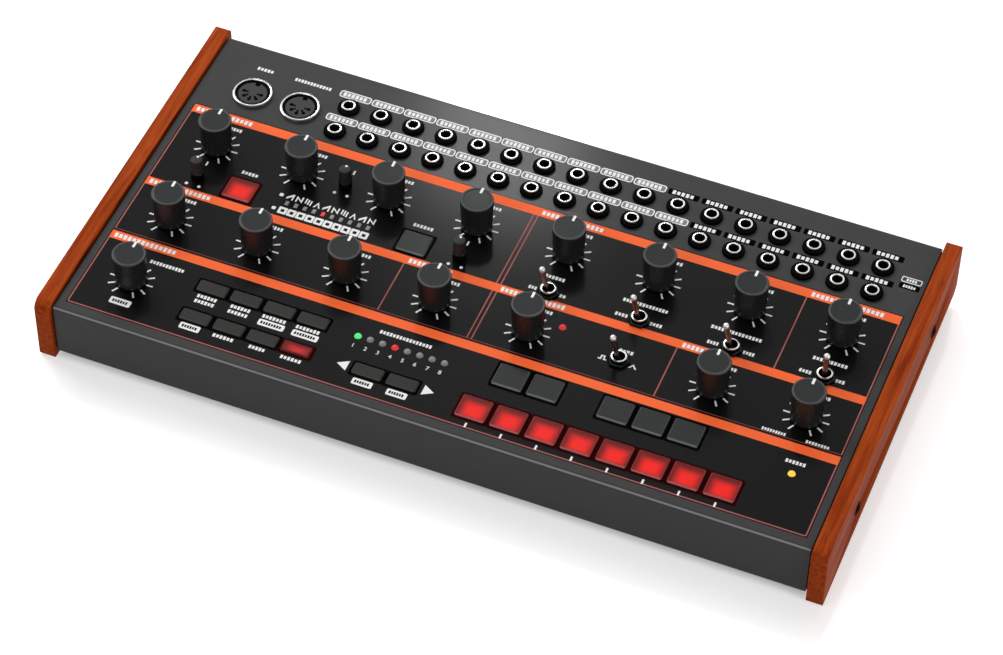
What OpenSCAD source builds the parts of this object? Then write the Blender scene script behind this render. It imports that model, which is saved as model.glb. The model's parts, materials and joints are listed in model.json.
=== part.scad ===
// Desktop synthesizer with a patch field: wooden cheeks, a bent sheet-metal case, turning knobs,
// tilting toggles, keys that press, lamps and two rows of patch jacks.
// Millimetres. X runs to the right, Y to the back and Z up. The table is at Z = 0.

/* [Case] */
// Width over both wooden cheeks
case_width = 320; // [290:1:352]
// Depth of the cheeks, front to back
case_depth = 165.2; // [148:0.2:180]
// Thickness of each wooden cheek
cheek_thickness = 6.5; // [5:0.5:8]
// Height of the cheeks' top edge above the table
cheek_top = 30; // [29:0.5:34]
// Height of the cheeks' bottom edge above the table, at the front
cheek_lift = 0.3; // [0.2:0.1:2]
// Height of the cheeks' bottom edge above the table, at the back
cheek_back_lift = 4.5; // [1:0.5:6]
// Radius of the cheeks' low back corners
cheek_radius = 4.5; // [2:0.5:8]
// Radius of the cheeks' top front corners
cheek_front_radius = 4.2; // [1:0.1:5]
// Radius of the cheeks' other corners
cheek_small_radius = 1.2; // [0.5:0.1:2]
// Height of the panel's face above the table
panel_top = 28.5; // [28:0.5:32]
// Thickness of the sheet metal
sheet = 1.2; // [1:0.1:1.5]
// Outer radius of the bends in the sheet metal
bend_radius = 1.5; // [1.4:0.1:3]
// Height of the tray's underside above the table
tray_lift = 4; // [3:0.2:5]
// How far the metal front stands behind the cheeks' front edge
front_setback = 1.6; // [0.5:0.1:2.4]
// How far the metal rear wall stands inside the cheeks' back edge
back_setback = 2.6; // [1.4:0.1:3.4]
// Gap between the panel's side edge and the cheek
panel_side_gap = 0.8; // [0.3:0.1:1.2]

/* [Fixings] */
// Diameter of a cheek screw's raised head
cheek_screw_head = 6.4; // [5:0.2:7]
// Height of the dome on a cheek screw's head
cheek_screw_dome = 1.2; // [0.6:0.1:1.6]
// Distance of each cheek screw from the middle between them
cheek_screw_reach = 47; // [40:1:56]
// How far the middle between them lies behind the cheek's middle
cheek_screw_shift = 2; // [0:0.5:4]
// Height of the cheek screws above the table
cheek_screw_height = 14.5; // [12:0.5:16]
// Diameter of a small screw's shank
screw_shank = 2.9; // [2.5:0.1:3.2]
// Diameter of a bottom screw's head
bottom_screw_head = 5.4; // [5:0.2:6.4]
// Distance of the outer bottom screws from the cheeks' inner faces
lip_screw_margin = 33.5; // [30:0.5:40]
// Diameter of a rubber foot
foot_diameter = 13; // [10:0.5:16]
// Distance of the feet's centres from the cheeks' inner faces
foot_side_margin = 27.5; // [20:0.5:36]
// Distance of the feet's centres from the cheeks' ends
foot_end_margin = 24.6; // [20:0.1:30]

/* [Board] */
// Height of the control board's upper face above the table
board_top = 16; // [15.5:0.1:16.5]
// Thickness of the control board
board_thickness = 1.6; // [1.2:0.1:2]
// Diameter of the posts that carry the board
post_diameter = 6; // [5.5:0.1:7]
// Distance of the outer posts from the cheeks' inner faces
post_margin = 11.5; // [11:0.1:12.5]
// X of the middle posts
post_middle = 2.5; // [1.5:0.1:3]

/* [Knobs] */
// Diameter of a large knob
knob_diameter = 13.2; // [12.4:0.1:14]
// Height of a large knob's top above the panel
knob_height = 15.4; // [13:0.1:18]
// Gap under a large knob's skirt
knob_lift = 0.7; // [0.4:0.1:1]
// Diameter of a potentiometer shaft
shaft_diameter = 5.9; // [5.6:0.1:6]
// Distance of the outer knob columns from the cheeks' inner faces
knob_margin = 22.4; // [21.8:0.1:24]
// Distance between the two middle knob columns
knob_middle_pitch = 38.4; // [37.6:0.1:39]
// Y of the back row of knobs
knob_row_back = 20.6; // [20:0.1:21.2]
// Y of the middle row of knobs
knob_row_middle = -22.2; // [-23:0.1:-21.6]
// Distance of the front knob from the metal front
knob_front_margin = 24.2; // [23:0.1:25.4]

/* [Trimmers] */
// Diameter of a trimmer knob at its foot
trim_diameter = 5.4; // [5:0.1:6]
// Height of a trimmer knob's top above the panel
trim_height = 10.1; // [8:0.1:12]
// Y of the two front trimmers
trim_row = 2.8; // [2.4:0.1:3.4]

/* [Toggles] */
// Outer diameter of a toggle's metal bushing
toggle_bushing = 6.3; // [6:0.1:6.8]
// Height of the bushing above the panel
toggle_bushing_rise = 2.6; // [1.6:0.1:3]
// Length of the lever from its pivot to the tip's centre
toggle_length = 13; // [10:0.1:14]
// Diameter of the lever's round tip
toggle_tip = 2.5; // [2.2:0.1:2.8]
// Lean of a lever from upright, in degrees
toggle_lean = 12; // [8:1:13]
// Y of the back row of toggles
toggle_row = -0.8; // [-1.2:0.1:-0.4]
// How far the fifth toggle stands in front of the middle row of knobs
toggle_front_gap = 0.6; // [0:0.1:1.2]
// Width of a toggle's hexagon nut across its flats
toggle_nut = 8; // [7.6:0.1:8.6]

/* [Keys] */
// Width of a key
key_width = 12.1; // [11.4:0.1:12.2]
// Depth of a square key, front to back
key_depth = 10.9; // [10.4:0.1:11.6]
// Depth of a small key, front to back
small_key_depth = 5.5; // [5:0.1:6]
// Height of the keys above the panel
key_rise = 0.9; // [0.8:0.1:1.4]
// Travel of a key when it is pressed
key_travel = 0.9; // [0.5:0.1:1]
// Gap between a key and its opening
key_clearance = 0.3; // [0.25:0.05:0.4]
// Distance between keys
key_pitch = 14.07; // [13.9:0.01:14.2]
// X of the first step key
step_first = 15.05; // [14.6:0.05:15.5]
// Distance of the step keys from the metal front
step_margin = 14.95; // [14.5:0.05:15.4]
// Distance of the square keys behind them from the metal front
square_margin = 34.35; // [33.9:0.05:34.8]
// X of the first small key
small_first = -100.2; // [-100.6:0.1:-99.6]
// Distance of the back row of small keys from the metal front
small_back_margin = 32; // [31.6:0.1:32.4]
// Distance of the front row of small keys from the metal front
small_front_margin = 16.4; // [15.8:0.1:16.8]
// X of the first of the two arrow keys
arrow_first = -28.6; // [-29:0.1:-28.2]
// Y of the bank and model keys
bank_row = 2.7; // [2.2:0.1:3.2]

/* [Jacks] */
// Distance of the last jack column from the right cheek's inner face
jack_margin = 19.1; // [18.5:0.1:20]
// Distance of the first jack column from the second round socket
jack_gap = 18.1; // [17.6:0.1:18.8]
// Distance of the back row of jacks from the metal rear wall
jack_back_margin = 19.5; // [19:0.1:20]
// Distance of the front row of jacks from the metal rear wall
jack_front_margin = 33.4; // [33:0.1:33.8]
// Diameter of the hole that a patch plug goes into
jack_bore = 3.5; // [3.5:0.05:3.6]
// Outer diameter of a jack's metal bush
jack_bush = 5.8; // [5.6:0.1:6.2]
// Height of the bush above the panel
jack_rise = 2.2; // [1.8:0.1:2.6]
// Outer diameter of a jack's ring nut
jack_nut = 9.1; // [8.6:0.1:9.6]

/* [Round sockets] */
// Outer diameter of a round socket's ring
din_ring = 16.2; // [15.8:0.1:17]
// Inner diameter of the ring
din_ring_hole = 14.2; // [14:0.1:14.6]
// Height of the ring above the panel
din_ring_rise = 1.5; // [1.2:0.1:1.8]
// Distance of the first round socket from the left cheek's inner face
din_margin = 23.3; // [22.7:0.1:23.9]
// Distance between the two round sockets
din_pitch = 20.9; // [20:0.1:21.4]
// Distance of the round sockets from the metal rear wall
din_back_margin = 27; // [26.4:0.1:27.6]

/* [Lamps] */
// Diameter of a round lamp
lamp_diameter = 3; // [2.8:0.1:3.2]
// Distance between the lamps of the row of eight
lamp_pitch = 5.09; // [5:0.01:5.2]
// X of the first lamp of the row of eight
lamp_first = -39.3; // [-39.8:0.1:-39]
// Distance of the row of eight lamps from the metal front
lamp_margin = 31.6; // [31.2:0.1:32]
// Distance of the power lamp from the metal front
power_lamp_margin = 31.2; // [30.6:0.1:32]
// Distance of the power lamp from the right cheek's inner face
power_lamp_side_margin = 18.7; // [18:0.1:19.4]
// Distance of the red lamp from the axis of the knob beside it, to the right
red_lamp_right = 11.7; // [11.2:0.1:12.4]
// Distance of the red lamp from the axis of the knob beside it, to the back
red_lamp_back = 6.8; // [6.2:0.1:7.4]
// How far the first slim lamp lies to the right of the second knob column
slim_start_gap = 1.1; // [0.8:0.1:1.4]
// How far the last slim lamp lies to the left of the third knob column
slim_end_gap = 1.55; // [1.2:0.05:1.9]
// Y of the row of slim lamps
slim_row = 3.4; // [3:0.1:3.8]

/* [Rear wall] */
// Distance of the power inlet from the right cheek's inner face
inlet_margin = 35.5; // [32:0.5:38]
// Distance of the data socket from the right cheek's inner face
data_margin = 57.5; // [53:0.5:62]
// Distance of the power rocker from the right cheek's inner face
rocker_margin = 15.5; // [14.5:0.5:18]
// Angle that the rocker leans at rest, in degrees
rocker_lean = 7; // [5:1:8]

/* [Hidden] */
$fn = 64;
// Overshoot of a cut past the face it starts from
cut = 1;
// Free space between pieces that are fitted to each other
fit = 0.05;
// Free space around a piece that moves past another
free = 0.3;
half_width = case_width / 2;
half_depth = case_depth / 2;
cheek_inner = half_width - cheek_thickness;
front_y = front_setback - half_depth;
back_y = half_depth - back_setback;
under_panel = panel_top - sheet;
tray_floor = tray_lift + sheet;
cover_half = cheek_inner - panel_side_gap;
lip_depth = 9;
lip_screw_inset = 5;
lip_half = cheek_inner - sheet - free;
wall_top = under_panel - free;
board_under = board_top - board_thickness;
// Small electrical parts stand this far above the board on their solder
seat = board_top + fit;
knob_bore = shaft_diameter / 2 + fit;
pot_side = 9.6;
pot_top = board_top + 6.6;
pot_bushing = 7.6;
bushing_top = under_panel - fit;
knob_hole = shaft_diameter + 0.8;
knob_wall = 1.2;
knob_hub = 4.7;
knob_roof = 5.6;
knob_edge = 0.4;
pointer_width = 1;
pointer_length = 2.9;
pointer_depth = 0.3;
trim_side = 6.8;
trim_top = board_top + 5.6;
trim_shaft = 3.8;
trim_taper = 0.3;
trim_lift = 0.6;
toggle_side_x = 9;
toggle_side_y = 7;
toggle_body_top = under_panel - 1.4;
toggle_ball = 1.95;
toggle_stem = 0.95;
toggle_tail = 4.2;
toggle_mouth = 0.42;
toggle_nut_height = 1.4;
pivot_z = panel_top - 1.1;
key_foot = under_panel - 2.1;
key_flange = 0.65;
key_flange_height = 0.75;
key_edge = 0.75;
key_switch = 9;
key_switch_top = key_foot - key_travel - 1.2;
stem_diameter = 3;
stem_length = 6;
jack_side_x = 9;
jack_side_y = 9.6;
jack_body_top = under_panel - fit;
jack_floor = board_top + 1.2;
jack_nut_height = jack_rise - 0.8;
din_body = 13.9;
din_disc = 11.5;
din_slot_wall = 0.45;
din_slot_depth = 9;
din_slot_floor = panel_top - din_slot_depth;
pin_circle = 3.75;
pin_diameter = 1.5;
pin_depth = 7;
disc_rise = 1;
slim_size = [1.5, 2.2];
axis_z = (board_top + under_panel) / 2;
socket_depth = 11;
inlet_side = 9;
data_shell = [12, 10];
rocker_size = [9.6, 5.6];
rocker_bezel = [15, 10];
rocker_hole = [10.4, 7.6];
rocker_face = 0.6;
rocker_pin = 0.8;
pivot_y = back_y - 2.8;

knob_pitch = (cheek_inner - knob_margin - knob_middle_pitch / 2) / 3;
knob_row_front = front_y + knob_front_margin;
knob_columns = [for (c = [0 : 7])
    c < 4 ? -knob_middle_pitch / 2 - (3 - c) * knob_pitch : knob_middle_pitch / 2 + (c - 4) * knob_pitch];
knob_places = concat(
    [for (c = [0 : 7]) [knob_columns[c], knob_row_back]],
    [for (c = [0, 1, 2, 3, 4, 6, 7]) [knob_columns[c], knob_row_middle]],
    [[knob_columns[0], knob_row_front]]);
knob_names = concat(
    [for (c = [1 : 8]) str("knob_back_", c)],
    [for (c = [1, 2, 3, 4, 5, 7, 8]) str("knob_middle_", c)],
    ["knob_front_1"]);

trim_places = [
    [knob_columns[0], trim_row],
    [(knob_columns[1] + knob_columns[2]) / 2, knob_row_back],
    [knob_columns[3], trim_row]];
trim_names = [for (i = [1 : 3]) str("trim_knob_", i)];

toggle_places = [
    [knob_columns[4], toggle_row],
    [knob_columns[5], toggle_row],
    [knob_columns[6], toggle_row],
    [knob_columns[7], toggle_row],
    [knob_columns[5], knob_row_middle - toggle_front_gap]];
toggle_leans = [-toggle_lean, -toggle_lean, -toggle_lean, 0, -toggle_lean];
toggle_names = [for (i = [1 : 5]) str("toggle_lever_", i)];

step_row = front_y + step_margin;
square_row = front_y + square_margin;
small_row_back = front_y + small_back_margin;
small_row_front = front_y + small_front_margin;
square_key = [key_width, key_depth];
small_key = [key_width, small_key_depth];
square_first = step_first + key_pitch / 2;
bank_x = (knob_columns[0] + knob_columns[1]) / 2;
model_x = (knob_columns[2] + knob_columns[3]) / 2 - 0.2;
step_places = [for (i = [0 : 7]) [step_first + i * key_pitch, step_row]];
square_places = [for (i = [0, 1, 3, 4, 5]) [square_first + i * key_pitch, square_row]];
small_places = concat(
    [for (i = [0 : 3]) [small_first + i * key_pitch, small_row_back]],
    [for (i = [0 : 3]) [small_first + i * key_pitch, small_row_front]],
    [for (i = [0, 1]) [arrow_first + i * key_pitch, small_row_front]]);
key_places = concat([[bank_x, bank_row], [model_x, bank_row]], square_places, step_places, small_places);
key_sizes = concat([for (i = [1 : 15]) square_key], [for (i = [1 : 10]) small_key]);
key_names = concat(
    ["key_bank", "key_model"],
    [for (i = [1 : 5]) str("key_square_", i)],
    [for (i = [1 : 8]) str("key_step_", i)],
    [for (i = [1 : 10]) str("key_small_", i)]);

din_first = din_margin - cheek_inner;
din_row = back_y - din_back_margin;
jack_first = din_first + din_pitch + jack_gap;
jack_pitch = (cheek_inner - jack_margin - jack_first) / 16;
jack_row_back = back_y - jack_back_margin;
jack_row_front = back_y - jack_front_margin;
jack_places = concat(
    [for (i = [0 : 16]) [jack_first + i * jack_pitch, jack_row_back]],
    [for (i = [0 : 16]) [jack_first + i * jack_pitch, jack_row_front]]);
din_places = [[din_first, din_row], [din_first + din_pitch, din_row]];
lamp_places = concat(
    [for (i = [0 : 7]) [lamp_first + i * lamp_pitch, front_y + lamp_margin]],
    [[knob_columns[4] + red_lamp_right, knob_row_middle + red_lamp_back],
     [cheek_inner - power_lamp_side_margin, front_y + power_lamp_margin]]);
slim_first = knob_columns[1] + slim_start_gap;
slim_pitch = (knob_columns[2] - slim_end_gap - slim_first) / 9;
slim_places = [for (i = [0 : 9]) [slim_first + i * slim_pitch, slim_row]];

inlet_x = cheek_inner - inlet_margin;
data_x = cheek_inner - data_margin;
rocker_x = cheek_inner - rocker_margin;
post_side = cheek_inner - post_margin;
post_rows = [(knob_row_back + jack_row_front) / 2, (knob_row_middle + square_row) / 2];
post_places = [for (x = [-post_side, post_middle, post_side]) for (y = post_rows) [x, y]];
foot_side = cheek_inner - foot_side_margin;
foot_end = half_depth - foot_end_margin;
foot_places = [for (x = [-foot_side, foot_side]) for (y = [-foot_end, foot_end]) [x, y]];
lip_screw_side = cheek_inner - lip_screw_margin;
lip_screw_rows = [front_y + sheet + lip_screw_inset, back_y - sheet - lip_screw_inset];
lip_screw_places = [for (x = [-lip_screw_side, 0, lip_screw_side]) for (y = lip_screw_rows) [x, y]];
cheek_screw_places = [for (reach = [-cheek_screw_reach, cheek_screw_reach])
    [cheek_screw_shift + reach, cheek_screw_height]];

// The material outside a rounded corner; the corner is at the origin and the piece lies to +X and +Y.
module corner_waste(radius) {
    difference() {
        translate([-cut, -cut])
            square(radius + cut);
        translate([radius, radius])
            circle(radius);
    }
}

// The cheeks' outline of Y and Z. Its bottom edge rises to the back, and is level by the corners.
module cheek_profile() {
    difference() {
        polygon([[-half_depth, cheek_lift], [2 * cheek_small_radius - half_depth, cheek_lift],
            [half_depth - 2 * cheek_radius, cheek_back_lift], [half_depth, cheek_back_lift],
            [half_depth, cheek_top], [-half_depth, cheek_top]]);
        translate([-half_depth, cheek_lift])
            corner_waste(cheek_small_radius);
        translate([-half_depth, cheek_top])
            mirror([0, 1])
                corner_waste(cheek_front_radius);
        translate([half_depth, cheek_top])
            mirror([1, 0])
                mirror([0, 1])
                    corner_waste(cheek_small_radius);
        translate([half_depth, cheek_back_lift])
            mirror([1, 0])
                corner_waste(cheek_radius);
    }
}

// Draws a profile of Y and Z and carries it along X.
module along_x(start, length) {
    translate([start, 0, 0])
        rotate([90, 0, 90])
            linear_extrude(length)
                children();
}

// A box on a centre in X and Y, from one height to another.
module block(size, bottom, top) {
    translate([-size[0] / 2, -size[1] / 2, bottom])
        cube([size[0], size[1], top - bottom]);
}

// A cheek standing at X = 0 and growing towards +X, which is outwards.
module cheek() {
    countersink = (cheek_screw_head - screw_shank) / 2;
    difference() {
        along_x(0, cheek_thickness)
            cheek_profile();
        for (p = cheek_screw_places) {
            translate([-cut, p[0], p[1]])
                rotate([0, 90, 0])
                    cylinder(d = screw_shank + 2 * fit, h = cheek_thickness + 2 * cut);
            translate([cheek_thickness - countersink - free, p[0], p[1]])
                rotate([0, 90, 0])
                    cylinder(d1 = screw_shank + 2 * fit, d2 = cheek_screw_head + 2 * fit, h = countersink);
            translate([cheek_thickness - free, p[0], p[1]])
                rotate([0, 90, 0])
                    cylinder(d = cheek_screw_head + 2 * fit, h = free + cut);
        }
    }
}

module left_cheek() {
    color("sienna")
        mirror([1, 0, 0])
            translate([cheek_inner, 0, 0])
                cheek();
}

module right_cheek() {
    color("sienna")
        translate([cheek_inner, 0, 0])
            cheek();
}

// The bent sheet of the cover: front face, panel, rear wall and the two lips.
module cover_sheet() {
    inner = bend_radius - sheet;
    along_x(-cover_half, 2 * cover_half)
        difference() {
            translate([front_y, tray_lift])
                square([back_y - front_y, panel_top - tray_lift]);
            translate([front_y, panel_top])
                mirror([0, 1])
                    corner_waste(bend_radius);
            translate([back_y, panel_top])
                mirror([1, 0])
                    mirror([0, 1])
                        corner_waste(bend_radius);
            difference() {
                translate([front_y + sheet, tray_lift - cut])
                    square([back_y - front_y - 2 * sheet, under_panel - tray_lift + cut]);
                translate([front_y + sheet, under_panel])
                    mirror([0, 1])
                        corner_waste(inner);
                translate([back_y - sheet, under_panel])
                    mirror([1, 0])
                        mirror([0, 1])
                            corner_waste(inner);
            }
        }
    along_x(-lip_half, 2 * lip_half)
        translate([front_y + sheet / 2, tray_floor])
            square([lip_depth + sheet / 2, sheet]);
    along_x(-lip_half, 2 * lip_half)
        translate([back_y - sheet - lip_depth, tray_floor])
            square([lip_depth + sheet / 2, sheet]);
}

module panel_hole(place, diameter) {
    translate([place[0], place[1], under_panel - cut])
        cylinder(d = diameter, h = sheet + 2 * cut);
}

module panel_window(place, size) {
    translate([place[0], place[1], 0])
        block(size, under_panel - cut, panel_top + cut);
}

// An opening in the rear wall.
module wall_window(x, size) {
    translate([x - size[0] / 2, back_y - sheet - cut, axis_z - size[1] / 2])
        cube([size[0], sheet + 2 * cut, size[1]]);
}

module top_cover() {
    color("dimgray")
        difference() {
            cover_sheet();
            for (p = knob_places)
                panel_hole(p, knob_hole);
            for (p = trim_places)
                panel_hole(p, trim_shaft + 0.8);
            for (p = toggle_places)
                panel_hole(p, toggle_bushing + 2 * fit);
            for (i = [0 : len(key_places) - 1])
                panel_window(key_places[i], key_sizes[i] + 2 * key_clearance * [1, 1]);
            for (p = jack_places)
                panel_hole(p, jack_bush + 2 * fit);
            for (p = din_places)
                panel_hole(p, din_body + 2 * fit);
            for (p = lamp_places)
                panel_hole(p, lamp_diameter + 2 * fit);
            for (p = slim_places)
                panel_window(p, slim_size + 2 * fit * [1, 1]);
            for (p = lip_screw_places)
                translate([p[0], p[1], tray_floor - cut])
                    cylinder(d = screw_shank + 2 * fit, h = sheet + 2 * cut);
            wall_window(inlet_x, inlet_side * [1, 1] + 2 * fit * [1, 1]);
            wall_window(data_x, data_shell + 2 * fit * [1, 1]);
            wall_window(rocker_x, [rocker_bezel[0] - 1.4, rocker_bezel[1] - 1]);
        }
}

module bottom_tray() {
    depth = back_y - front_y - 2 * sheet - 2 * fit;
    nut_length = 4;
    color("gray")
        difference() {
            union() {
                translate([-cheek_inner, front_y + sheet + fit, tray_lift])
                    cube([2 * cheek_inner, depth, sheet]);
                for (side = [0, 1])
                    mirror([side, 0, 0]) {
                        translate([cheek_inner - sheet, front_y + sheet + fit, tray_lift])
                            cube([sheet, depth, wall_top - tray_lift]);
                        for (p = cheek_screw_places)
                            translate([cheek_inner - sheet - nut_length, p[0], p[1]])
                                rotate([0, 90, 0])
                                    cylinder(d = 6.4, h = nut_length + sheet / 2);
                    }
            }
            for (side = [0, 1])
                mirror([side, 0, 0])
                    for (p = cheek_screw_places)
                        translate([cheek_inner - sheet - nut_length - cut, p[0], p[1]])
                            rotate([0, 90, 0])
                                cylinder(d = screw_shank + 2 * fit, h = nut_length + sheet + 2 * cut);
            for (p = concat(post_places, lip_screw_places))
                translate([p[0], p[1], tray_lift - cut])
                    cylinder(d = screw_shank + 2 * fit, h = sheet + 2 * cut);
        }
}

// A potentiometer body with the bearing for its shaft.
module pot_body() {
    difference() {
        union() {
            block([pot_side, pot_side], seat, pot_top);
            translate([0, 0, pot_top - cut])
                cylinder(d = pot_bushing, h = bushing_top - pot_top + cut);
        }
        translate([0, 0, seat + cut])
            cylinder(r = knob_bore, h = bushing_top);
    }
}

module trim_body() {
    difference() {
        union() {
            block([trim_side, trim_side], seat, trim_top);
            translate([0, 0, trim_top - cut])
                cylinder(d = trim_shaft + 1.6, h = 2 * cut);
        }
        translate([0, 0, seat + cut])
            cylinder(d = trim_shaft + 2 * fit, h = trim_top);
    }
}

// A toggle switch: its body, and the bushing that stands out of the panel.
module toggle_body() {
    bore = toggle_ball + fit;
    mouth_start = pivot_z + toggle_ball * 0.4;
    bushing_end = panel_top + toggle_bushing_rise;
    difference() {
        union() {
            block([toggle_side_x, toggle_side_y], seat, toggle_body_top);
            translate([0, 0, toggle_body_top - cut])
                cylinder(d = toggle_bushing, h = bushing_end - toggle_body_top + cut);
        }
        translate([0, 0, pivot_z - toggle_tail - 3 * fit - free])
            cylinder(r = bore, h = bushing_end);
        translate([0, 0, mouth_start])
            cylinder(r1 = bore, r2 = bore + toggle_mouth, h = bushing_end - mouth_start);
        translate([0, 0, bushing_end])
            cylinder(r = bore + toggle_mouth, h = cut);
    }
}

// The switch under a key; the key's stem slides in it.
module key_body(size) {
    difference() {
        block([key_switch, min(size[1], key_switch)], seat, key_switch_top);
        translate([0, 0, seat + cut / 2])
            cylinder(d = stem_diameter + 2 * fit, h = key_switch_top);
    }
}

// A post swaged into the board, threaded for a screw through the tray.
module board_post() {
    spigot = 3;
    difference() {
        union() {
            translate([0, 0, tray_floor])
                cylinder(d = post_diameter, h = board_under - fit - tray_floor);
            translate([0, 0, board_under - cut])
                cylinder(d = spigot, h = board_thickness + cut + 0.5);
        }
        translate([0, 0, tray_floor - cut])
            cylinder(d = screw_shank + 2 * fit, h = 6 + cut);
    }
}

module control_board() {
    board_side = cheek_inner - sheet - 5;
    color("seagreen") {
        difference() {
            translate([-board_side, front_y + sheet + 2, board_under])
                cube([2 * board_side, back_y - front_y - 2 * sheet - 4, board_thickness]);
            for (p = post_places)
                translate([p[0], p[1], board_under - cut])
                    cylinder(d = 3 + 2 * fit, h = board_thickness + 2 * cut);
        }
        for (p = post_places)
            translate([p[0], p[1], 0])
                board_post();
        for (p = knob_places)
            translate([p[0], p[1], 0])
                pot_body();
        for (p = trim_places)
            translate([p[0], p[1], 0])
                trim_body();
        for (p = toggle_places)
            translate([p[0], p[1], 0])
                toggle_body();
        for (i = [0 : len(key_places) - 1])
            translate([key_places[i][0], key_places[i][1], 0])
                key_body(key_sizes[i]);
    }
}

module jack() {
    difference() {
        union() {
            block([jack_side_x, jack_side_y], seat, jack_body_top);
            translate([0, 0, jack_body_top - cut])
                cylinder(d = jack_bush, h = panel_top + jack_rise - jack_body_top + cut);
        }
        translate([0, 0, jack_floor])
            cylinder(d = jack_bore, h = panel_top + jack_rise);
    }
}

module jack_sockets() {
    color("silver")
        for (p = jack_places)
            translate([p[0], p[1], 0])
                jack();
}

// A round five-pin socket: the insulator with its ring-shaped slot, and the silver ring on the panel.
module din_socket() {
    disc_top = panel_top + disc_rise;
    slot_inner = din_disc / 2;
    slot_outer = din_body / 2 - din_slot_wall;
    difference() {
        translate([0, 0, seat])
            cylinder(d = din_body, h = panel_top + din_ring_rise - 0.3 - seat);
        difference() {
            translate([0, 0, din_slot_floor])
                cylinder(r = slot_outer, h = panel_top);
            translate([0, 0, din_slot_floor - cut])
                cylinder(r = slot_inner, h = disc_top - din_slot_floor + cut);
        }
        for (a = [0 : 45 : 180])
            rotate([0, 0, -a])
                translate([pin_circle, 0, disc_top - pin_depth])
                    cylinder(d = pin_diameter, h = panel_top);
        translate([-1, slot_inner - 1.2, disc_top - pin_depth])
            cube([2, 2, panel_top]);
    }
    translate([0, 0, panel_top])
        difference() {
            cylinder(d = din_ring, h = din_ring_rise);
            translate([0, 0, -cut])
                cylinder(d = din_ring_hole, h = din_ring_rise + 2 * cut);
        }
}

// The power inlet: a barrel socket with its centre pin.
module power_inlet() {
    barrel = 6.4;
    pin = 2;
    difference() {
        translate([-inlet_side / 2, back_y + 0.6 - socket_depth, axis_z - inlet_side / 2])
            cube([inlet_side, socket_depth, inlet_side]);
        translate([0, back_y + 0.6 + cut, axis_z])
            rotate([90, 0, 0])
                difference() {
                    cylinder(d = barrel, h = socket_depth - 2 + cut);
                    translate([0, 0, 2 * cut])
                        cylinder(d = pin, h = socket_depth);
                }
    }
}

// The square data socket: a metal shell with a tongue.
module data_socket() {
    hollow = [8.6, 7.8];
    tongue = [5.6, 3.2];
    difference() {
        translate([-data_shell[0] / 2, back_y + 0.6 - socket_depth, axis_z - data_shell[1] / 2])
            cube([data_shell[0], socket_depth, data_shell[1]]);
        difference() {
            translate([-hollow[0] / 2, back_y + 0.6 - socket_depth + 1.5, axis_z - hollow[1] / 2])
                cube([hollow[0], socket_depth, hollow[1]]);
            translate([-tongue[0] / 2, back_y - socket_depth, axis_z - tongue[1] / 2])
                cube([tongue[0], socket_depth - 0.4, tongue[1]]);
        }
    }
}

// The frame that the power rocker tilts in.
module rocker_housing() {
    body = [rocker_bezel[0] - 1.4 - 2 * fit, rocker_bezel[1] - 1 - 2 * fit];
    depth = 11;
    difference() {
        union() {
            translate([-rocker_bezel[0] / 2, back_y, axis_z - rocker_bezel[1] / 2])
                cube([rocker_bezel[0], rocker_face, rocker_bezel[1]]);
            translate([-body[0] / 2, back_y - depth, axis_z - body[1] / 2])
                cube([body[0], depth + rocker_face / 2, body[1]]);
        }
        translate([-rocker_hole[0] / 2, back_y - depth + 1.5, axis_z - rocker_hole[1] / 2])
            cube([rocker_hole[0], depth, rocker_hole[1]]);
        translate([-rocker_hole[0] / 2 - 1.1, pivot_y, axis_z])
            rotate([0, 90, 0])
                cylinder(r = rocker_pin + fit, h = rocker_hole[0] + 2.2);
    }
}

module cable_sockets() {
    color("darkgray") {
        for (p = din_places)
            translate([p[0], p[1], 0])
                din_socket();
        translate([inlet_x, 0, 0])
            power_inlet();
        translate([data_x, 0, 0])
            data_socket();
        translate([rocker_x, 0, 0])
            rocker_housing();
    }
}

// A round lamp with a domed top, on its two legs.
module round_lamp() {
    foot = board_top + 4;
    union() {
        translate([0, 0, foot])
            cylinder(d = lamp_diameter, h = panel_top - 0.5 - foot);
        translate([0, 0, panel_top - 0.5])
            sphere(d = lamp_diameter);
        for (x = [-0.8, 0.8])
            translate([x, 0, 0])
                block([0.5, 0.5], seat, foot + cut / 2);
    }
}

module lamps() {
    color("tomato") {
        for (p = lamp_places)
            translate([p[0], p[1], 0])
                round_lamp();
        for (p = slim_places)
            translate([p[0], p[1], 0])
                block(slim_size, seat, panel_top + 0.1);
    }
}

// A countersunk screw with a domed top and a cross slot, pointing along -Z; its head's rim is at Z = 0.
module raised_screw() {
    radius = cheek_screw_head / 2;
    countersink = radius - screw_shank / 2;
    ball = (radius * radius + cheek_screw_dome * cheek_screw_dome) / (2 * cheek_screw_dome);
    difference() {
        union() {
            rotate_extrude()
                intersection() {
                    translate([0, cheek_screw_dome - ball])
                        circle(ball);
                    polygon([[0, -countersink], [radius - countersink, -countersink], [radius, 0],
                        [radius, cheek_screw_dome + cut], [0, cheek_screw_dome + cut]]);
                }
            translate([0, 0, -cheek_thickness - sheet - 3])
                cylinder(d = screw_shank, h = cheek_thickness + sheet + 3 - countersink / 2);
        }
        for (a = [0, 90])
            rotate([0, 0, a])
                block([3.2, 0.7], cheek_screw_dome - 1.2, cheek_screw_dome + cut);
    }
}

// A screw with a low round head under the tray, pointing up; its head's upper face is at Z = 0.
module bottom_screw(length) {
    head = 1.6;
    difference() {
        union() {
            translate([0, 0, -head])
                cylinder(d = bottom_screw_head, h = head);
            translate([0, 0, -head / 2])
                cylinder(d = screw_shank, h = length + head / 2);
        }
        for (a = [0, 90])
            rotate([0, 0, a])
                block([3, 0.7], -head - cut, -head + 0.8);
    }
}

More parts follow.
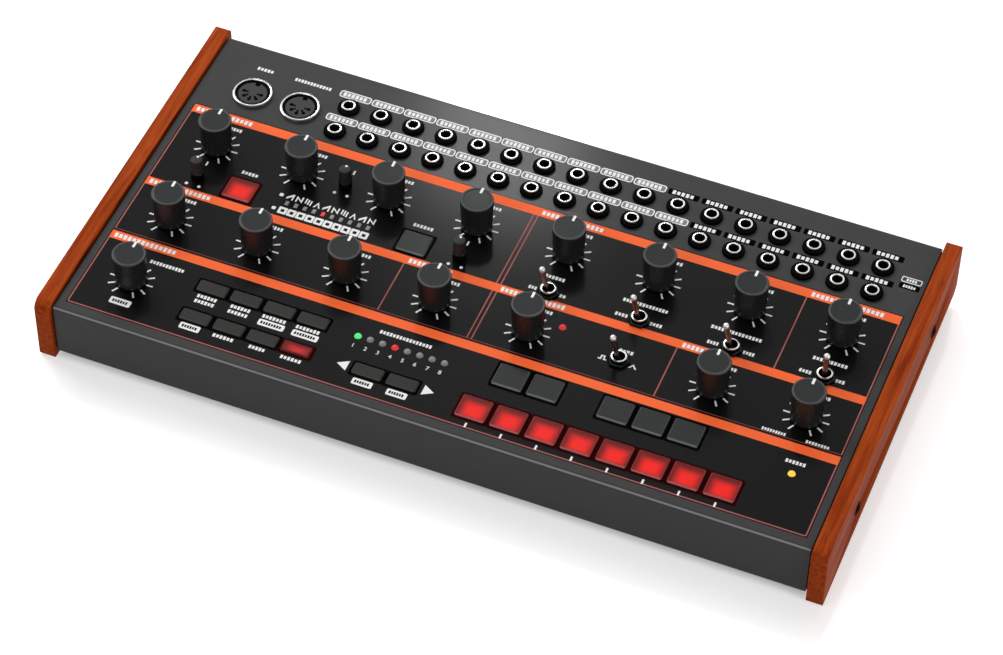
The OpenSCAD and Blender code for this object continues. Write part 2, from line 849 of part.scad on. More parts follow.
module jack_ring_nut() {
    edge = 0.4;
    inner = jack_bush / 2 + fit;
    outer = jack_nut / 2;
    rotate_extrude()
        polygon([[inner, 0], [outer, 0], [outer, jack_nut_height - edge],
            [outer - edge, jack_nut_height], [inner, jack_nut_height]]);
}

module toggle_hexagon_nut() {
    corner = toggle_nut / sqrt(3);
    difference() {
        linear_extrude(toggle_nut_height)
            polygon([for (a = [0 : 60 : 300]) corner * [cos(a), sin(a)]]);
        translate([0, 0, -cut])
            cylinder(d = toggle_bushing + 2 * fit, h = toggle_nut_height + 2 * cut);
    }
}

module screws_and_nuts() {
    color("black") {
        for (side = [0, 1])
            mirror([side, 0, 0])
                for (p = cheek_screw_places)
                    translate([half_width - free, p[0], p[1]])
                        rotate([0, 90, 0])
                            raised_screw();
        for (p = post_places)
            translate([p[0], p[1], tray_lift])
                bottom_screw(6);
        for (p = lip_screw_places)
            translate([p[0], p[1], tray_lift])
                bottom_screw(4);
        for (p = jack_places)
            translate([p[0], p[1], panel_top])
                jack_ring_nut();
        for (p = toggle_places)
            translate([p[0], p[1], panel_top])
                toggle_hexagon_nut();
    }
}

module rubber_feet() {
    edge = 1;
    radius = foot_diameter / 2;
    color("black")
        for (p = foot_places)
            translate([p[0], p[1], 0])
                rotate_extrude()
                    polygon([[0, 0], [radius - edge, 0], [radius, edge], [radius, tray_lift],
                        [0, tray_lift]]);
}

module knob() {
    bottom = panel_top + knob_lift;
    top = panel_top + knob_height;
    radius = knob_diameter / 2;
    roof = top - knob_roof;
    color("darkslategray") {
        difference() {
            rotate_extrude()
                polygon([[knob_bore, bottom], [knob_hub, bottom], [knob_hub, roof],
                    [radius - knob_wall, roof], [radius - knob_wall, bottom], [radius, bottom],
                    [radius, top - knob_edge], [radius - knob_edge, top], [0, top],
                    [0, top - 2], [knob_bore, top - 2]]);
            translate([0, radius - pointer_length / 2, 0])
                block([pointer_width, pointer_length], top - pointer_depth, top + cut);
        }
        translate([0, 0, seat + cut + fit])
            cylinder(d = shaft_diameter, h = top - 2 - fit - seat - cut - fit);
    }
}

module trim_knob() {
    bottom = panel_top + trim_lift;
    top = panel_top + trim_height;
    radius = trim_diameter / 2;
    color("black")
        difference() {
            union() {
                translate([0, 0, seat + cut + fit])
                    cylinder(d = trim_shaft, h = bottom - seat);
                translate([0, 0, bottom])
                    cylinder(r1 = radius, r2 = radius - trim_taper, h = top - bottom);
            }
            translate([0, radius - 1, 0])
                block([0.7, 2], top - pointer_depth, top + cut);
        }
}

// A lever upright on its pivot, then leaned.
module toggle_lever(lean) {
    tip = toggle_tip / 2;
    color("silver")
        translate([0, 0, pivot_z])
            rotate([0, lean, 0])
                union() {
                    sphere(r = toggle_ball);
                    translate([0, 0, -toggle_tail])
                        cylinder(r = toggle_stem, h = toggle_tail);
                    cylinder(r1 = toggle_stem, r2 = toggle_stem + 0.15, h = toggle_length);
                    translate([0, 0, toggle_length])
                        sphere(r = tip);
                }
}

// A key: its cap with bevelled top edges, the flange that keeps it in, and its stem.
module key(size) {
    top = panel_top + key_rise;
    bevel = key_edge / sqrt(2);
    color("dimgray")
        difference() {
            union() {
                block(size, key_foot, top);
                block(size + 2 * key_flange * [1, 1], key_foot, key_foot + key_flange_height);
                translate([0, 0, key_foot - stem_length])
                    cylinder(d = stem_diameter, h = stem_length + cut);
            }
            for (side = [-1, 1]) {
                translate([side * size[0] / 2, 0, top])
                    rotate([0, 45, 0])
                        block([2 * bevel, size[1] + 2 * cut], -bevel, bevel);
                translate([0, side * size[1] / 2, top])
                    rotate([45, 0, 0])
                        block([size[0] + 2 * cut, 2 * bevel], -bevel, bevel);
            }
        }
}

// The rocker on its two pins, leaned about X.
module power_rocker() {
    length = back_y + rocker_face + 0.6 - pivot_y;
    color("black")
        translate([rocker_x, pivot_y, axis_z])
            rotate([rocker_lean, 0, 0])
                union() {
                    translate([-rocker_size[0] / 2, -2, -rocker_size[1] / 2])
                        cube([rocker_size[0], length + 2, rocker_size[1]]);
                    translate([-rocker_hole[0] / 2 - 0.9, 0, 0])
                        rotate([0, 90, 0])
                            cylinder(r = rocker_pin, h = rocker_hole[0] + 1.8);
                }
}

left_cheek();
right_cheek();
top_cover();
bottom_tray();
control_board();
jack_sockets();
cable_sockets();
lamps();
screws_and_nuts();
rubber_feet();
power_rocker();
for (i = [0 : len(knob_names) - 1])
    translate([knob_places[i][0], knob_places[i][1], 0]) knob();
for (i = [0 : len(trim_names) - 1])
    translate([trim_places[i][0], trim_places[i][1], 0]) trim_knob();
for (i = [0 : len(toggle_names) - 1])
    translate([toggle_places[i][0], toggle_places[i][1], 0]) toggle_lever(toggle_leans[i]);
for (i = [0 : len(key_names) - 1])
    translate([key_places[i][0], key_places[i][1], 0]) key(key_sizes[i]);
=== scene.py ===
"""Looks of a desktop synthesizer with a patch field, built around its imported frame.

Sizes are millimetres, with X to the right, Y to the back and Z up, as in the frame.
MM turns them into metres.
"""

import json
import logging
import math
from collections.abc import Iterable, Sequence
from dataclasses import dataclass, field
from enum import Enum
from functools import cache
from typing import ClassVar

import bmesh
import bpy
from mathutils import Matrix, Vector


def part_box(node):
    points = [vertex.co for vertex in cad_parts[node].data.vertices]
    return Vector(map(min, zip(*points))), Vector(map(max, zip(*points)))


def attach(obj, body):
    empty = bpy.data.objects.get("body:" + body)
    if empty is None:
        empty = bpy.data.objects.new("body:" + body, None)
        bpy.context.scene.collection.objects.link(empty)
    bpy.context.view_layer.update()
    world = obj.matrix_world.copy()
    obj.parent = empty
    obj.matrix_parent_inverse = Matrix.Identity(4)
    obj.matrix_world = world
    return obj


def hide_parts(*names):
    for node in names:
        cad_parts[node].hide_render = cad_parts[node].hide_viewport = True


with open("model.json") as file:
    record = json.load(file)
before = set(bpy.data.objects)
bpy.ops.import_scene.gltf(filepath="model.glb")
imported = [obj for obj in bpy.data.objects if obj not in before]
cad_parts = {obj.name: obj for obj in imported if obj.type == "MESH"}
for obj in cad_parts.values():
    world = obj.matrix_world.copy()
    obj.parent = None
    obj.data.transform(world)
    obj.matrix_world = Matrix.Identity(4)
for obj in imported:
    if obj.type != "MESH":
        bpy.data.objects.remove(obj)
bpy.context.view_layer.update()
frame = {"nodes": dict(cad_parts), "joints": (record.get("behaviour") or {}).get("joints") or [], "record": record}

MM = 0.001
CASE = "case"
WHITE_LIGHT = (1, 1, 1, 1)
# The span that holds most values of a noise texture.
NOISE_SPAN = (0.3, 0.7)
BROAD_DETAIL = 3.0
FINE_DETAIL = 4.0
QUARTER_TURN = math.pi / 2
Point = tuple[float, float]
Place = Sequence[float]
Colour = tuple[float, float, float, float]
Tree = bpy.types.NodeTree
Node = bpy.types.Node
Socket = bpy.types.NodeSocket
Mesh = bpy.types.Mesh
Face = bmesh.types.BMFace
Vert = bmesh.types.BMVert
log = logging.getLogger("synthesizer")


def linear(code: str, share: float = 1.0) -> Colour:
    """Turns an sRGB hex colour into linear light.

    Args:
        code: The colour as #rrggbb.
        share: How much of its light is kept.

    Returns:
        Red, green, blue and an alpha of 1.
    """
    parts = [int(code[i:i + 2], 16) / 255 for i in (1, 3, 5)]
    light = [p / 12.92 if p <= 0.04045 else ((p + 0.055) / 1.055) ** 2.4 for p in parts]
    red, green, blue = (min(1.0, x * share) for x in light)
    return red, green, blue, 1.0


def feed(node: Node, inputs: dict) -> None:
    """Sets or links a node's inputs.

    Args:
        node: The node.
        inputs: For each input, by name or number, a value or the output that feeds it.
    """
    for key, value in inputs.items():
        if isinstance(value, Socket):
            node.id_data.links.new(value, node.inputs[key])
        else:
            node.inputs[key].default_value = value


def add_node(tree: Tree, kind: str, inputs: dict | None = None, **settings: object) -> Node:
    """Adds a node, sets its properties and feeds its inputs.

    Args:
        tree: The tree that the node goes into.
        kind: The node's type.
        inputs: What goes into it, as feed takes it.
        settings: The node's own properties.

    Returns:
        The new node.
    """
    node = tree.nodes.new(kind)
    for name, value in settings.items():
        setattr(node, name, value)
    feed(node, inputs or {})
    return node


def calculate(tree: Tree, operation: str, *values: object, kind: str = "ShaderNodeMath") -> Socket:
    """Adds a calculation on numbers or sockets and gives its result."""
    return add_node(tree, kind, dict(enumerate(values)), operation=operation).outputs[0]


def calculate_vector(tree: Tree, operation: str, *values: object) -> Socket:
    """Adds a calculation on vectors and gives its result."""
    return calculate(tree, operation, *values, kind="ShaderNodeVectorMath")


def split(tree: Tree, vector: Socket) -> list[Socket]:
    """Parts a vector into X, Y and Z."""
    return list(add_node(tree, "ShaderNodeSeparateXYZ", {"Vector": vector}).outputs)


def combine(tree: Tree, **axes: Socket) -> Socket:
    """Makes a vector of the axes that are given."""
    return add_node(tree, "ShaderNodeCombineXYZ", axes).outputs[0]


def mix(tree: Tree, share: Socket, one: object, other: object) -> Socket:
    """Mixes two colours, with share 0 for the first and 1 for the other."""
    return add_node(tree, "ShaderNodeMix", {0: share, 6: one, 7: other}, data_type="RGBA").outputs[2]


def remap(tree: Tree, value: Socket, span: Point, to: Point = (0.0, 1.0), **settings: object) -> Socket:
    """Carries a span of values over to another, held at its ends."""
    ends = {"From Min": span[0], "From Max": span[1], "To Min": to[0], "To Max": to[1]}
    return add_node(tree, "ShaderNodeMapRange", {"Value": value, **ends}, **settings).outputs["Result"]


def noise(tree: Tree, place: Socket, size: float, detail: float, distortion: float = 0.0) -> Socket:
    """Adds a noise texture whose features are of about the given size."""
    inputs = {"Vector": place, "Scale": 1 / size, "Detail": detail, "Distortion": distortion}
    return add_node(tree, "ShaderNodeTexNoise", inputs).outputs["Fac"]


def node_box(node: str) -> tuple[Vector, Vector]:
    """Gives a CAD node's lowest and highest corner in millimetres."""
    low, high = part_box(node)
    return low / MM, high / MM


def node_centre(node: str) -> Vector:
    """Gives the middle of a CAD node's box in millimetres."""
    low, high = node_box(node)
    return (low + high) / 2


def named(prefix: str) -> list[str]:
    """Lists the CAD nodes whose names start alike, in the frame's order."""
    return [name for name in frame["nodes"] if name.startswith(prefix)]


def numbered(prefix: str) -> list[str]:
    """Lists the CAD nodes that share a name and differ in their number, in order."""
    return sorted(named(prefix), key=lambda name: int(name.rsplit("_", 1)[1]))


def pivot(node: str) -> Point:
    """Gives X and Y of the joint that a body turns on, in millimetres."""
    joint = next(j for j in frame["joints"] if j["child"] == node)
    return joint["pos_m"][0] / MM, joint["pos_m"][1] / MM


def mounts(prefix: str) -> dict[str, Vector]:
    """Gives the places, in millimetres, of the record's mounts whose names start alike."""
    found = (mount for mount in frame["record"]["mounts"] if mount["name"].startswith(prefix))
    return {mount["name"]: Vector(mount["pos_m"]) / MM for mount in found}


PANEL = node_box("top_cover")[1].z


@dataclass(frozen=True)
class Finish:
    """A material: its colour, its gloss, a fine relief and a broad unevenness of tone."""

    name: str
    colour: str
    roughness: float = 0.5
    spread: float = 0.06
    specular: float = 0.5
    coat: float = 0.0
    coat_roughness: float = 0.125
    grit: float = 0.4
    depth: float = 0.01
    mottle: float = 0.08
    mottle_size: float = 9.0

    def material(self) -> bpy.types.Material:
        """Makes the material the first time it is asked for and returns it."""
        made = bpy.data.materials.get(self.name)
        if made is None:
            made = bpy.data.materials.new(self.name)
            made.use_nodes = True
            tree = made.node_tree
            shader = tree.nodes["Principled BSDF"]
            feed(shader, {"Base Color": linear(self.colour), "Roughness": self.roughness,
                          "Specular IOR Level": self.specular, "Coat Weight": self.coat,
                          "Coat Roughness": self.coat_roughness})
            source = add_node(tree, "ShaderNodeTexCoord")
            scale = {"Vector": source.outputs["Object"], "Scale": (1 / MM, 1 / MM, 1 / MM)}
            self.pattern(tree, shader, add_node(tree, "ShaderNodeMapping", scale).outputs["Vector"])
        return made

    def pattern(self, tree: Tree, shader: Node, place: Socket) -> None:
        """Draws the finish on the shader.

        Args:
            tree: The material's tree.
            shader: Its principled shader.
            place: The point on the piece, in millimetres.
        """
        feed(shader, {"Base Color": self.mottled(tree, place, self.colour)})
        self.relief(tree, shader, place)

    def mottled(self, tree: Tree, place: Socket, colour: str) -> Socket:
        """Makes a colour a little darker in some places and a little lighter in others."""
        broad = noise(tree, place, self.mottle_size, BROAD_DETAIL)
        return mix(tree, broad, linear(colour, 1 - self.mottle), linear(colour, 1 + self.mottle))

    def relief(self, tree: Tree, shader: Node, place: Socket) -> None:
        """Gives the surface its fine relief and the uneven gloss that goes with it.

        Args:
            tree: The material's tree.
            shader: Its principled shader.
            place: The point on the piece, in millimetres.
        """
        fine = noise(tree, place, self.grit, FINE_DETAIL)
        gloss = remap(tree, fine, NOISE_SPAN, (self.roughness - self.spread, self.roughness + self.spread))
        bump = add_node(tree, "ShaderNodeBump", {"Height": fine, "Distance": self.depth * MM})
        feed(shader, {"Roughness": gloss, "Normal": bump.outputs["Normal"]})


@dataclass(frozen=True)
class PanelCoat(Finish):
    """Powder coat on the panel, with the control field printed on its upper face in a second colour, and a painted
    highlight along the sheet's bends.
    """

    field_colour: str = "#080808"
    field_x: Point = (-149.8, 149.7)
    field_y: Point = (-76.2, 40.0)
    field_reach: float = 0.1
    painted_highlight: str = "#8c8c8e"
    painted_highlight_from: float = 0.75
    painted_highlight_to: float = 1.0

    def pattern(self, tree: Tree, shader: Node, place: Socket) -> None:
        """Draws the coat, the field and the painted highlight on the sheet's bends, as Finish.pattern says."""
        spans = (self.field_x, self.field_y, (PANEL - self.field_reach, PANEL + self.field_reach))
        inside = [calculate(tree, "COMPARE", axis, (low + high) / 2, (high - low) / 2)
                  for axis, (low, high) in zip(split(tree, place), spans)]
        mask = calculate(tree, "MULTIPLY", calculate(tree, "MULTIPLY", *inside[:2]), inside[2])
        tone = mix(tree, mask, *(self.mottled(tree, place, c) for c in (self.colour, self.field_colour)))
        # The bends take a lighter colour, a painted highlight.
        feed(shader, {"Base Color": mix(tree, self.bends(tree), tone, linear(self.painted_highlight))})
        self.relief(tree, shader, place)

    def bends(self, tree: Tree) -> Socket:
        """Finds the sheet's bends, where the highlight is painted, by how far it leans from level and upright.

        Args:
            tree: The material's tree.

        Returns:
            A factor: 1 on the middle of a bend and 0 on the flat faces.
        """
        source = add_node(tree, "ShaderNodeTexCoord")
        _, y, z = split(tree, source.outputs["Normal"])
        lean = calculate(tree, "ABSOLUTE", calculate(tree, "MULTIPLY", y, z))
        return remap(tree, lean, (self.painted_highlight_from / 2, self.painted_highlight_to / 2))


@dataclass(frozen=True)
class StainedWood(Finish):
    """Stained hardwood under satin lacquer: long streaks along Y, and fine dark pores between them."""

    pale: str = "#b04a14"
    pore: str = "#4a1a08"
    streak: float = 1.6
    run: float = 42.0
    streak_detail: float = 5.0
    waviness: float = 0.6
    pore_width: float = 0.35
    pore_run: float = 9.0
    pore_detail: float = 2.0
    pore_span: Point = (0.56, 0.74)
    pore_share: float = 0.55

    def pattern(self, tree: Tree, shader: Node, place: Socket) -> None:
        """Draws the grain, as Finish.pattern says."""
        streaks = self.grain(tree, place, self.streak, self.run, self.streak_detail, self.waviness)
        pores = self.grain(tree, place, self.pore_width, self.pore_run, self.pore_detail)
        holes = remap(tree, pores, self.pore_span, (0.0, self.pore_share))
        bands = mix(tree, remap(tree, streaks, NOISE_SPAN), linear(self.colour), linear(self.pale))
        gloss = remap(tree, streaks, NOISE_SPAN, (self.roughness + self.spread, self.roughness - self.spread))
        bump = add_node(tree, "ShaderNodeBump", {"Height": holes, "Distance": self.depth * MM}, invert=True)
        feed(shader, {"Base Color": mix(tree, holes, bands, linear(self.pore)), "Roughness": gloss,
                      "Normal": bump.outputs["Normal"]})

    @staticmethod
    def grain(tree: Tree, place: Socket, width: float, run: float, detail: float,
              wave: float = 0.0) -> Socket:
        """Adds a noise that is drawn out along Y: width across and run along the grain."""
        drawn = {"Vector": place, "Scale": (1 / width, 1 / run, 1 / width)}
        return noise(tree, add_node(tree, "ShaderNodeMapping", drawn).outputs["Vector"], 1.0, detail, wave)


@dataclass(frozen=True)
class PlatedMetal(Finish):
    """Plated and polished metal: clear reflections, with faint marks that make its gloss uneven."""

    def pattern(self, tree: Tree, shader: Node, place: Socket) -> None:
        """Draws the plating, as Finish.pattern says."""
        feed(shader, {"Metallic": 1.0})
        super().pattern(tree, shader, place)


@dataclass(frozen=True)
class LitPlastic(Finish):
    """Translucent plastic lit from below: brightest over its lamp and darker to the edge, by a UV map."""

    glow: str = "#ff1c14"
    rim: str = "#5c0604"
    strength: float = 0.82
    bright_to: float = 0.3
    dark_from: float = 1.02
    round: float = 0.24
    centre: Point = (0.55, 0.35)

    def pattern(self, tree: Tree, shader: Node, place: Socket) -> None:
        """Draws the light in the cap, as Finish.pattern says."""
        source = add_node(tree, "ShaderNodeUVMap", uv_map=Solid.UV_NAME)
        centred = calculate_vector(tree, "SUBTRACT", source.outputs["UV"], (*self.centre, 0.0))
        x, y, _ = split(tree, calculate_vector(tree, "ABSOLUTE", centred))
        reach = calculate(tree, "SMOOTH_MAX", x, y, self.round)
        span = self.bright_to / 2, self.dark_from / 2
        fade = remap(tree, reach, span, interpolation_type="SMOOTHSTEP")
        light = mix(tree, fade, linear(self.glow), linear(self.rim))
        feed(shader, {"Emission Color": light, "Emission Strength": self.strength})
        super().pattern(tree, shader, place)


@dataclass(frozen=True)
class LampResin(Finish):
    """Diffused epoxy of a small lamp, with its own light if it is on."""

    glow: str = "#000000"
    strength: float = 0.0

    def pattern(self, tree: Tree, shader: Node, place: Socket) -> None:
        """Draws the resin, as Finish.pattern says."""
        feed(shader, {"Emission Color": linear(self.glow), "Emission Strength": self.strength})
        super().pattern(tree, shader, place)


def ink(shade: str, colour: str, **changes: float) -> Finish:
    """Makes a screen-printed ink, which is thinner and finer than other finishes."""
    return Finish("screen_ink_" + shade, colour, **{"specular": 0.1, "grit": 0.3, "depth": 0.003, **changes})


# Stained beech, planed and lacquered: warm orange-brown with streaks along the length and a soft sheen.
WOOD = StainedWood("beech_stained_satin_lacquer", "#862c07", roughness=0.58, specular=0.03, coat=0.03,
                   coat_roughness=0.2, depth=0.03)
# Powder-coated steel sheet: an even dark grey skin, with fine orange peel that breaks up the highlights.
PANEL_COAT = PanelCoat("steel_sheet_powder_coat_printed", "#3f3f40", roughness=0.42, specular=0.05, coat=0.08,
                       grit=0.45, depth=0.012)
# The tray's coat is duller and has no print.
TRAY_COAT = Finish("steel_sheet_powder_coat_plain", "#303031", roughness=0.55, specular=0.2, grit=0.45,
                   depth=0.012)
# Screen-printed ink: thin, even and half matt, a little thinner in places.
WHITE_INK = ink("white", "#f0f0ee", mottle=0.04, mottle_size=4.0)
GREY_INK = ink("grey", "#828281", mottle=0.06, mottle_size=4.0)
ORANGE_INK = ink("orange", "#ff6a34", roughness=0.45, mottle=0.05, mottle_size=12.0)
LINE_INK = ink("orange_thin", "#b0605a", roughness=0.45, mottle_size=12.0)
# Black ink also paints the shade in the gaps round the keys and in the round sockets' pin holes.
BLACK_INK = ink("black", "#030303", roughness=0.8, specular=0.02)
# Dark red ink that paints the glow which the lit keys spill onto the panel round them.
PAINTED_GLOW_INK = ink("dark_red", "#2c0608", roughness=0.8, specular=0.02)
# Moulded ABS of the knobs: a spark-eroded matt top that catches the light, a rim painted lighter as its highlight,
# and a smooth dark side.
KNOB_TOP = Finish("abs_moulded_charcoal_matt", "#2a2c2d", specular=0.09, coat=0.06, grit=0.35, depth=0.012)
KNOB_RIM = Finish("abs_moulded_charcoal_worn", "#3a3c3d", roughness=0.42, specular=0.3, grit=0.35,
                  depth=0.006)
KNOB_SIDE = Finish("abs_moulded_black_satin", "#222222", roughness=0.28, specular=0.42, grit=0.6, depth=0.004)
# White ABS let into the knobs: a clean mark, brighter than the print.
POINTER = Finish("abs_inlay_white", "#f4f4f2", roughness=0.45, specular=0.2, grit=0.3, depth=0.003,
                 mottle=0.03)
# Moulded nylon of the trimmers: a dull charcoal.
TRIM = Finish("nylon_moulded_charcoal", "#343637", specular=0.12, depth=0.008)
# Moulded key caps: dark grey with a soft sheen, and red translucent ones with a lamp under them. Their bevels are
# painted a little lighter than their tops, as a highlight.
DARK_KEY = Finish("polycarbonate_moulded_dark", "#282b2b", roughness=0.36, specular=0.09, coat=0.06, grit=0.5,
                  depth=0.006)
KEY_EDGE = Finish("polycarbonate_moulded_dark_worn", "#4a4d4e", roughness=0.3, grit=0.5, depth=0.004)
SMALL_KEY = Finish("silicone_moulded_warm_grey", "#2c2b29", specular=0.14, grit=0.5, depth=0.006)
SMALL_EDGE = Finish("silicone_moulded_warm_grey_worn", "#3b3937", roughness=0.45, specular=0.3, grit=0.5,
                    depth=0.004)
LIT_KEY = LitPlastic("polycarbonate_moulded_red_lit", "#3a0706", roughness=0.36, specular=0.12, grit=0.5,
                     depth=0.004)
LIT_SMALL = LitPlastic("silicone_moulded_red_lit", "#3a0706", roughness=0.45, specular=0.12, grit=0.5,
                       depth=0.004, glow="#dc2a26", strength=0.75, bright_to=0.1)
LIT_EDGE = Finish("polycarbonate_moulded_red_worn", "#a03230", roughness=0.3, grit=0.5, depth=0.004)
LIT_WALL = Finish("polycarbonate_moulded_red_unlit", "#560c0a", roughness=0.4, specular=0.2, grit=0.5,
                  depth=0.004)
# Nickel over turned brass: bright, slightly warm, with faint turning marks. Black nickel is dark and satin.
NICKEL = PlatedMetal("brass_nickel_plated", "#c4c3c0", roughness=0.2, spread=0.07, grit=0.5, depth=0.002,
                     mottle=0.05)
DARK_NICKEL = PlatedMetal("brass_black_nickel_plated", "#1e2220", roughness=0.4, grit=0.5, depth=0.002,
                          mottle=0.06)
# Chrome over brass on the levers, its colour darkened and warmed as a painted reflection of the dark panel and
# orange stripes, with a white tip that is a painted reflection.
CHROME = PlatedMetal("brass_chrome_plated", "#94807a", roughness=0.3, grit=0.8, depth=0.001, mottle=0.05)
CHROME_TIP = PlatedMetal("brass_chrome_plated_rubbed", "#f6f6f6", grit=0.8, depth=0.001, mottle=0.03)
# Blackened brass of the ring nuts and screws: dark with a dull shine on the edges.
BLACKENED = Finish("brass_blackened_turned", "#020202", roughness=0.6, specular=0.03, depth=0.006)
# Insulating plastic of the sockets: a deep black with little shine, greyer on the disc with the pin holes.
SOCKET = Finish("pbt_moulded_black", "#060607", specular=0.06, grit=0.5, depth=0.006)
SOCKET_DISC = Finish("pbt_moulded_grey_black", "#333435", specular=0.2, grit=0.5, depth=0.006)
# Moulded rubber of the feet: dull, slightly dusty.
RUBBER = Finish("rubber_moulded_black", "#19191a", roughness=0.8, specular=0.2, grit=0.7, depth=0.03,
                mottle=0.15)
# Solder mask over glass-fibre board: a glossy dark green.
BOARD = Finish("glass_fibre_solder_mask", "#0d2b1a", roughness=0.35, grit=0.9)
# Diffused resin of the lamps: milky when off, and an even glow when on.
LAMP_OFF = LampResin("epoxy_diffused_unlit", "#8c8e8e", roughness=0.3, specular=0.3, grit=0.6, depth=0.003)
LAMP_RED = LampResin("epoxy_diffused_red_lit", "#8a1414", roughness=0.3, specular=0.3, glow="#d03438",
                     strength=0.8)
LAMP_GREEN = LampResin("epoxy_diffused_green_lit", "#30a050", roughness=0.3, specular=0.3, glow="#5cf08c",
                       strength=0.7)
LAMP_AMBER = LampResin("epoxy_diffused_amber_lit", "#c08010", roughness=0.3, specular=0.3, glow="#ffcc50",
                       strength=0.9)


class Solid:
    """A mesh in the making: closed shapes are added with their finishes, and it ends as one plain mesh."""

    UV_NAME = "cap"

    def __init__(self) -> None:
        """Starts with nothing."""
        self.bm = bmesh.new()
        self.finishes: list[Finish] = []

    def paint(self, faces: Iterable[Face], finish: Finish) -> None:
        """Gives faces a finish."""
        if finish not in self.finishes:
            self.finishes.append(finish)
        for face in faces:
            face.material_index = self.finishes.index(finish)

    def bridge(self, one: Sequence[Vert], two: Sequence[Vert]) -> list[Face]:
        """Joins two loops of corners by a ring of faces; one of them can be a single corner."""
        faces = []
        for i in range(max(len(one), len(two))):
            corners = (one[i % len(one)], one[(i + 1) % len(one)], two[(i + 1) % len(two)], two[i % len(two)])
            faces.append(self.bm.faces.new(list(dict.fromkeys(corners))))
        return faces

    def lathe(self, profile: Sequence[Point], finish: Finish, place: Place = (0, 0, 0), segments: int = 48,
              flutes: int = 0, flute_depth: float = 0.0, fluted: range = range(0)) -> list[Face]:
        """Turns a profile about an upright axis.

        Args:
            profile: Radius and height of each point, in order round the section. It starts and ends on the
                axis, or else it closes on itself.
            finish: What the shape is made of.
            place: Where the axis stands and height 0 is.
            segments: Steps in a full turn.
            flutes: How many grooves run down the side.
            flute_depth: How deep they are.
            fluted: The profile's points that they run through.

        Returns:
            The new faces.
        """
        middle = Vector(place)
        rings = []
        for number, (radius, height) in enumerate(profile):
            ring = []
            for step in range(segments if radius else 1):
                angle = step * math.tau / segments
                groove = flute_depth * (0.5 - 0.5 * math.cos(flutes * angle)) if number in fluted else 0.0
                reach = radius - groove
                spoke = Vector((reach * math.sin(angle), reach * math.cos(angle), height))
                ring.append(self.bm.verts.new(middle + spoke))
            rings.append(ring)
        pairs = list(zip(rings, rings[1:]))
        if profile[0][0] and profile[-1][0]:
            pairs.append((rings[-1], rings[0]))
        faces = [face for one, two in pairs for face in self.bridge(one, two)]
        self.paint(faces, finish)
        return faces

    def slab(self, outline: Sequence[Point], low: float, high: float, finish: Finish,
             hole: Sequence[Point] = ()) -> None:
        """Raises a flat outline to a slab.

        Args:
            outline: Its corners in order.
            low: Height of its underside.
            high: Height of its upper side.
            finish: What it is made of.
            hole: Corners of a hole, as many as the outline has and in the same order.
        """
        loops = [[self.bm.verts.new((x, y, z)) for x, y in edge] for edge in (outline, hole) if edge
                 for z in (low, high)]
        walls = ((0, 1), (2, 3), (0, 2), (1, 3)) if hole else ((0, 1),)
        faces = [face for a, b in walls for face in self.bridge(loops[a], loops[b])]
        if not hole:
            faces += [self.bm.faces.new(loop) for loop in loops]
        self.paint(faces, finish)

    def block(self, low: Place, high: Place, finish: Finish, radius: float = 0.0, steps: int = 3) -> None:
        """Adds a box with rounded edges.

        Args:
            low: Its lowest corner.
            high: Its highest corner.
            finish: What it is made of.
            radius: Radius of its edges.
            steps: Faces across each rounded edge.
        """
        size = Matrix.Diagonal((*(Vector(high) - Vector(low)), 1))
        place = Matrix.Translation((Vector(high) + Vector(low)) / 2)
        made = bmesh.ops.create_cube(self.bm, size=1.0, matrix=place @ size)
        faces = {face for vert in made["verts"] for face in vert.link_faces}
        self.paint(faces, finish)
        if radius:
            self.ease({edge for face in faces for edge in face.edges}, radius, steps)

    def ease(self, edges: Iterable[bmesh.types.BMEdge], radius: float, steps: int) -> None:
        """Rounds edges."""
        bmesh.ops.bevel(self.bm, geom=list(edges), offset=radius, segments=steps, profile=0.5, affect="EDGES")

    def join(self, other: "Solid", place: Matrix) -> None:
        """Moves another shape, of one finish, to its place and takes it in.

        Args:
            other: The shape, which is used up.
            place: Where it goes.
        """
        other.bm.transform(place)
        part = bpy.data.meshes.new("part")
        other.bm.to_mesh(part)
        other.bm.free()
        before = len(self.bm.faces)
        self.bm.from_mesh(part)
        self.bm.faces.ensure_lookup_table()
        self.paint(self.bm.faces[before:], other.finishes[0])
        bpy.data.meshes.remove(part)

    def mesh(self, name: str, sharp: float = 35.0, cap: tuple[Point, Point] | None = None) -> Mesh:
        """Ends the making.

        Args:
            name: The mesh's name.
            sharp: Edges that bend more than this, in degrees, stay crisp.
            cap: Two corners, in X and Y, between which the UV map runs from 0 to 1.

        Returns:
            The mesh, in metres.
        """
        bmesh.ops.recalc_face_normals(self.bm, faces=self.bm.faces)
        for edge in self.bm.edges:
            edge.smooth = edge.is_manifold and edge.calc_face_angle(0.0) < math.radians(sharp)
        if cap:
            layer = self.bm.loops.layers.uv.new(self.UV_NAME)
            (x0, y0), (x1, y1) = cap
            for loop in (loop for face in self.bm.faces for loop in face.loops):
                loop[layer].uv = ((loop.vert.co.x - x0) / (x1 - x0), (loop.vert.co.y - y0) / (y1 - y0))
        for face in self.bm.faces:
            face.smooth = True
        self.bm.transform(Matrix.Scale(MM, 4))
        made = bpy.data.meshes.new(name)
        self.bm.to_mesh(made)
        self.bm.free()
        for finish in self.finishes:
            made.materials.append(finish.material())
        return made


def turned(profile: Sequence[Point], finish: Finish, **settings: object) -> Solid:
    """Makes a shape of one turned profile about the origin, as Solid.lathe says."""
    shape = Solid()
    shape.lathe(profile, finish, **settings)
    return shape


def add_object(name: str, data: bpy.types.ID) -> bpy.types.Object:
    """Puts an object with the given data into the scene."""
    made = bpy.data.objects.new(name, data)
    bpy.context.scene.collection.objects.link(made)
    return made


def evaluated(piece: bpy.types.Object) -> Mesh:
    """Makes a plain mesh of an object with its modifiers."""
    graph = bpy.context.evaluated_depsgraph_get()
    return bpy.data.meshes.new_from_object(piece.evaluated_get(graph), depsgraph=graph)


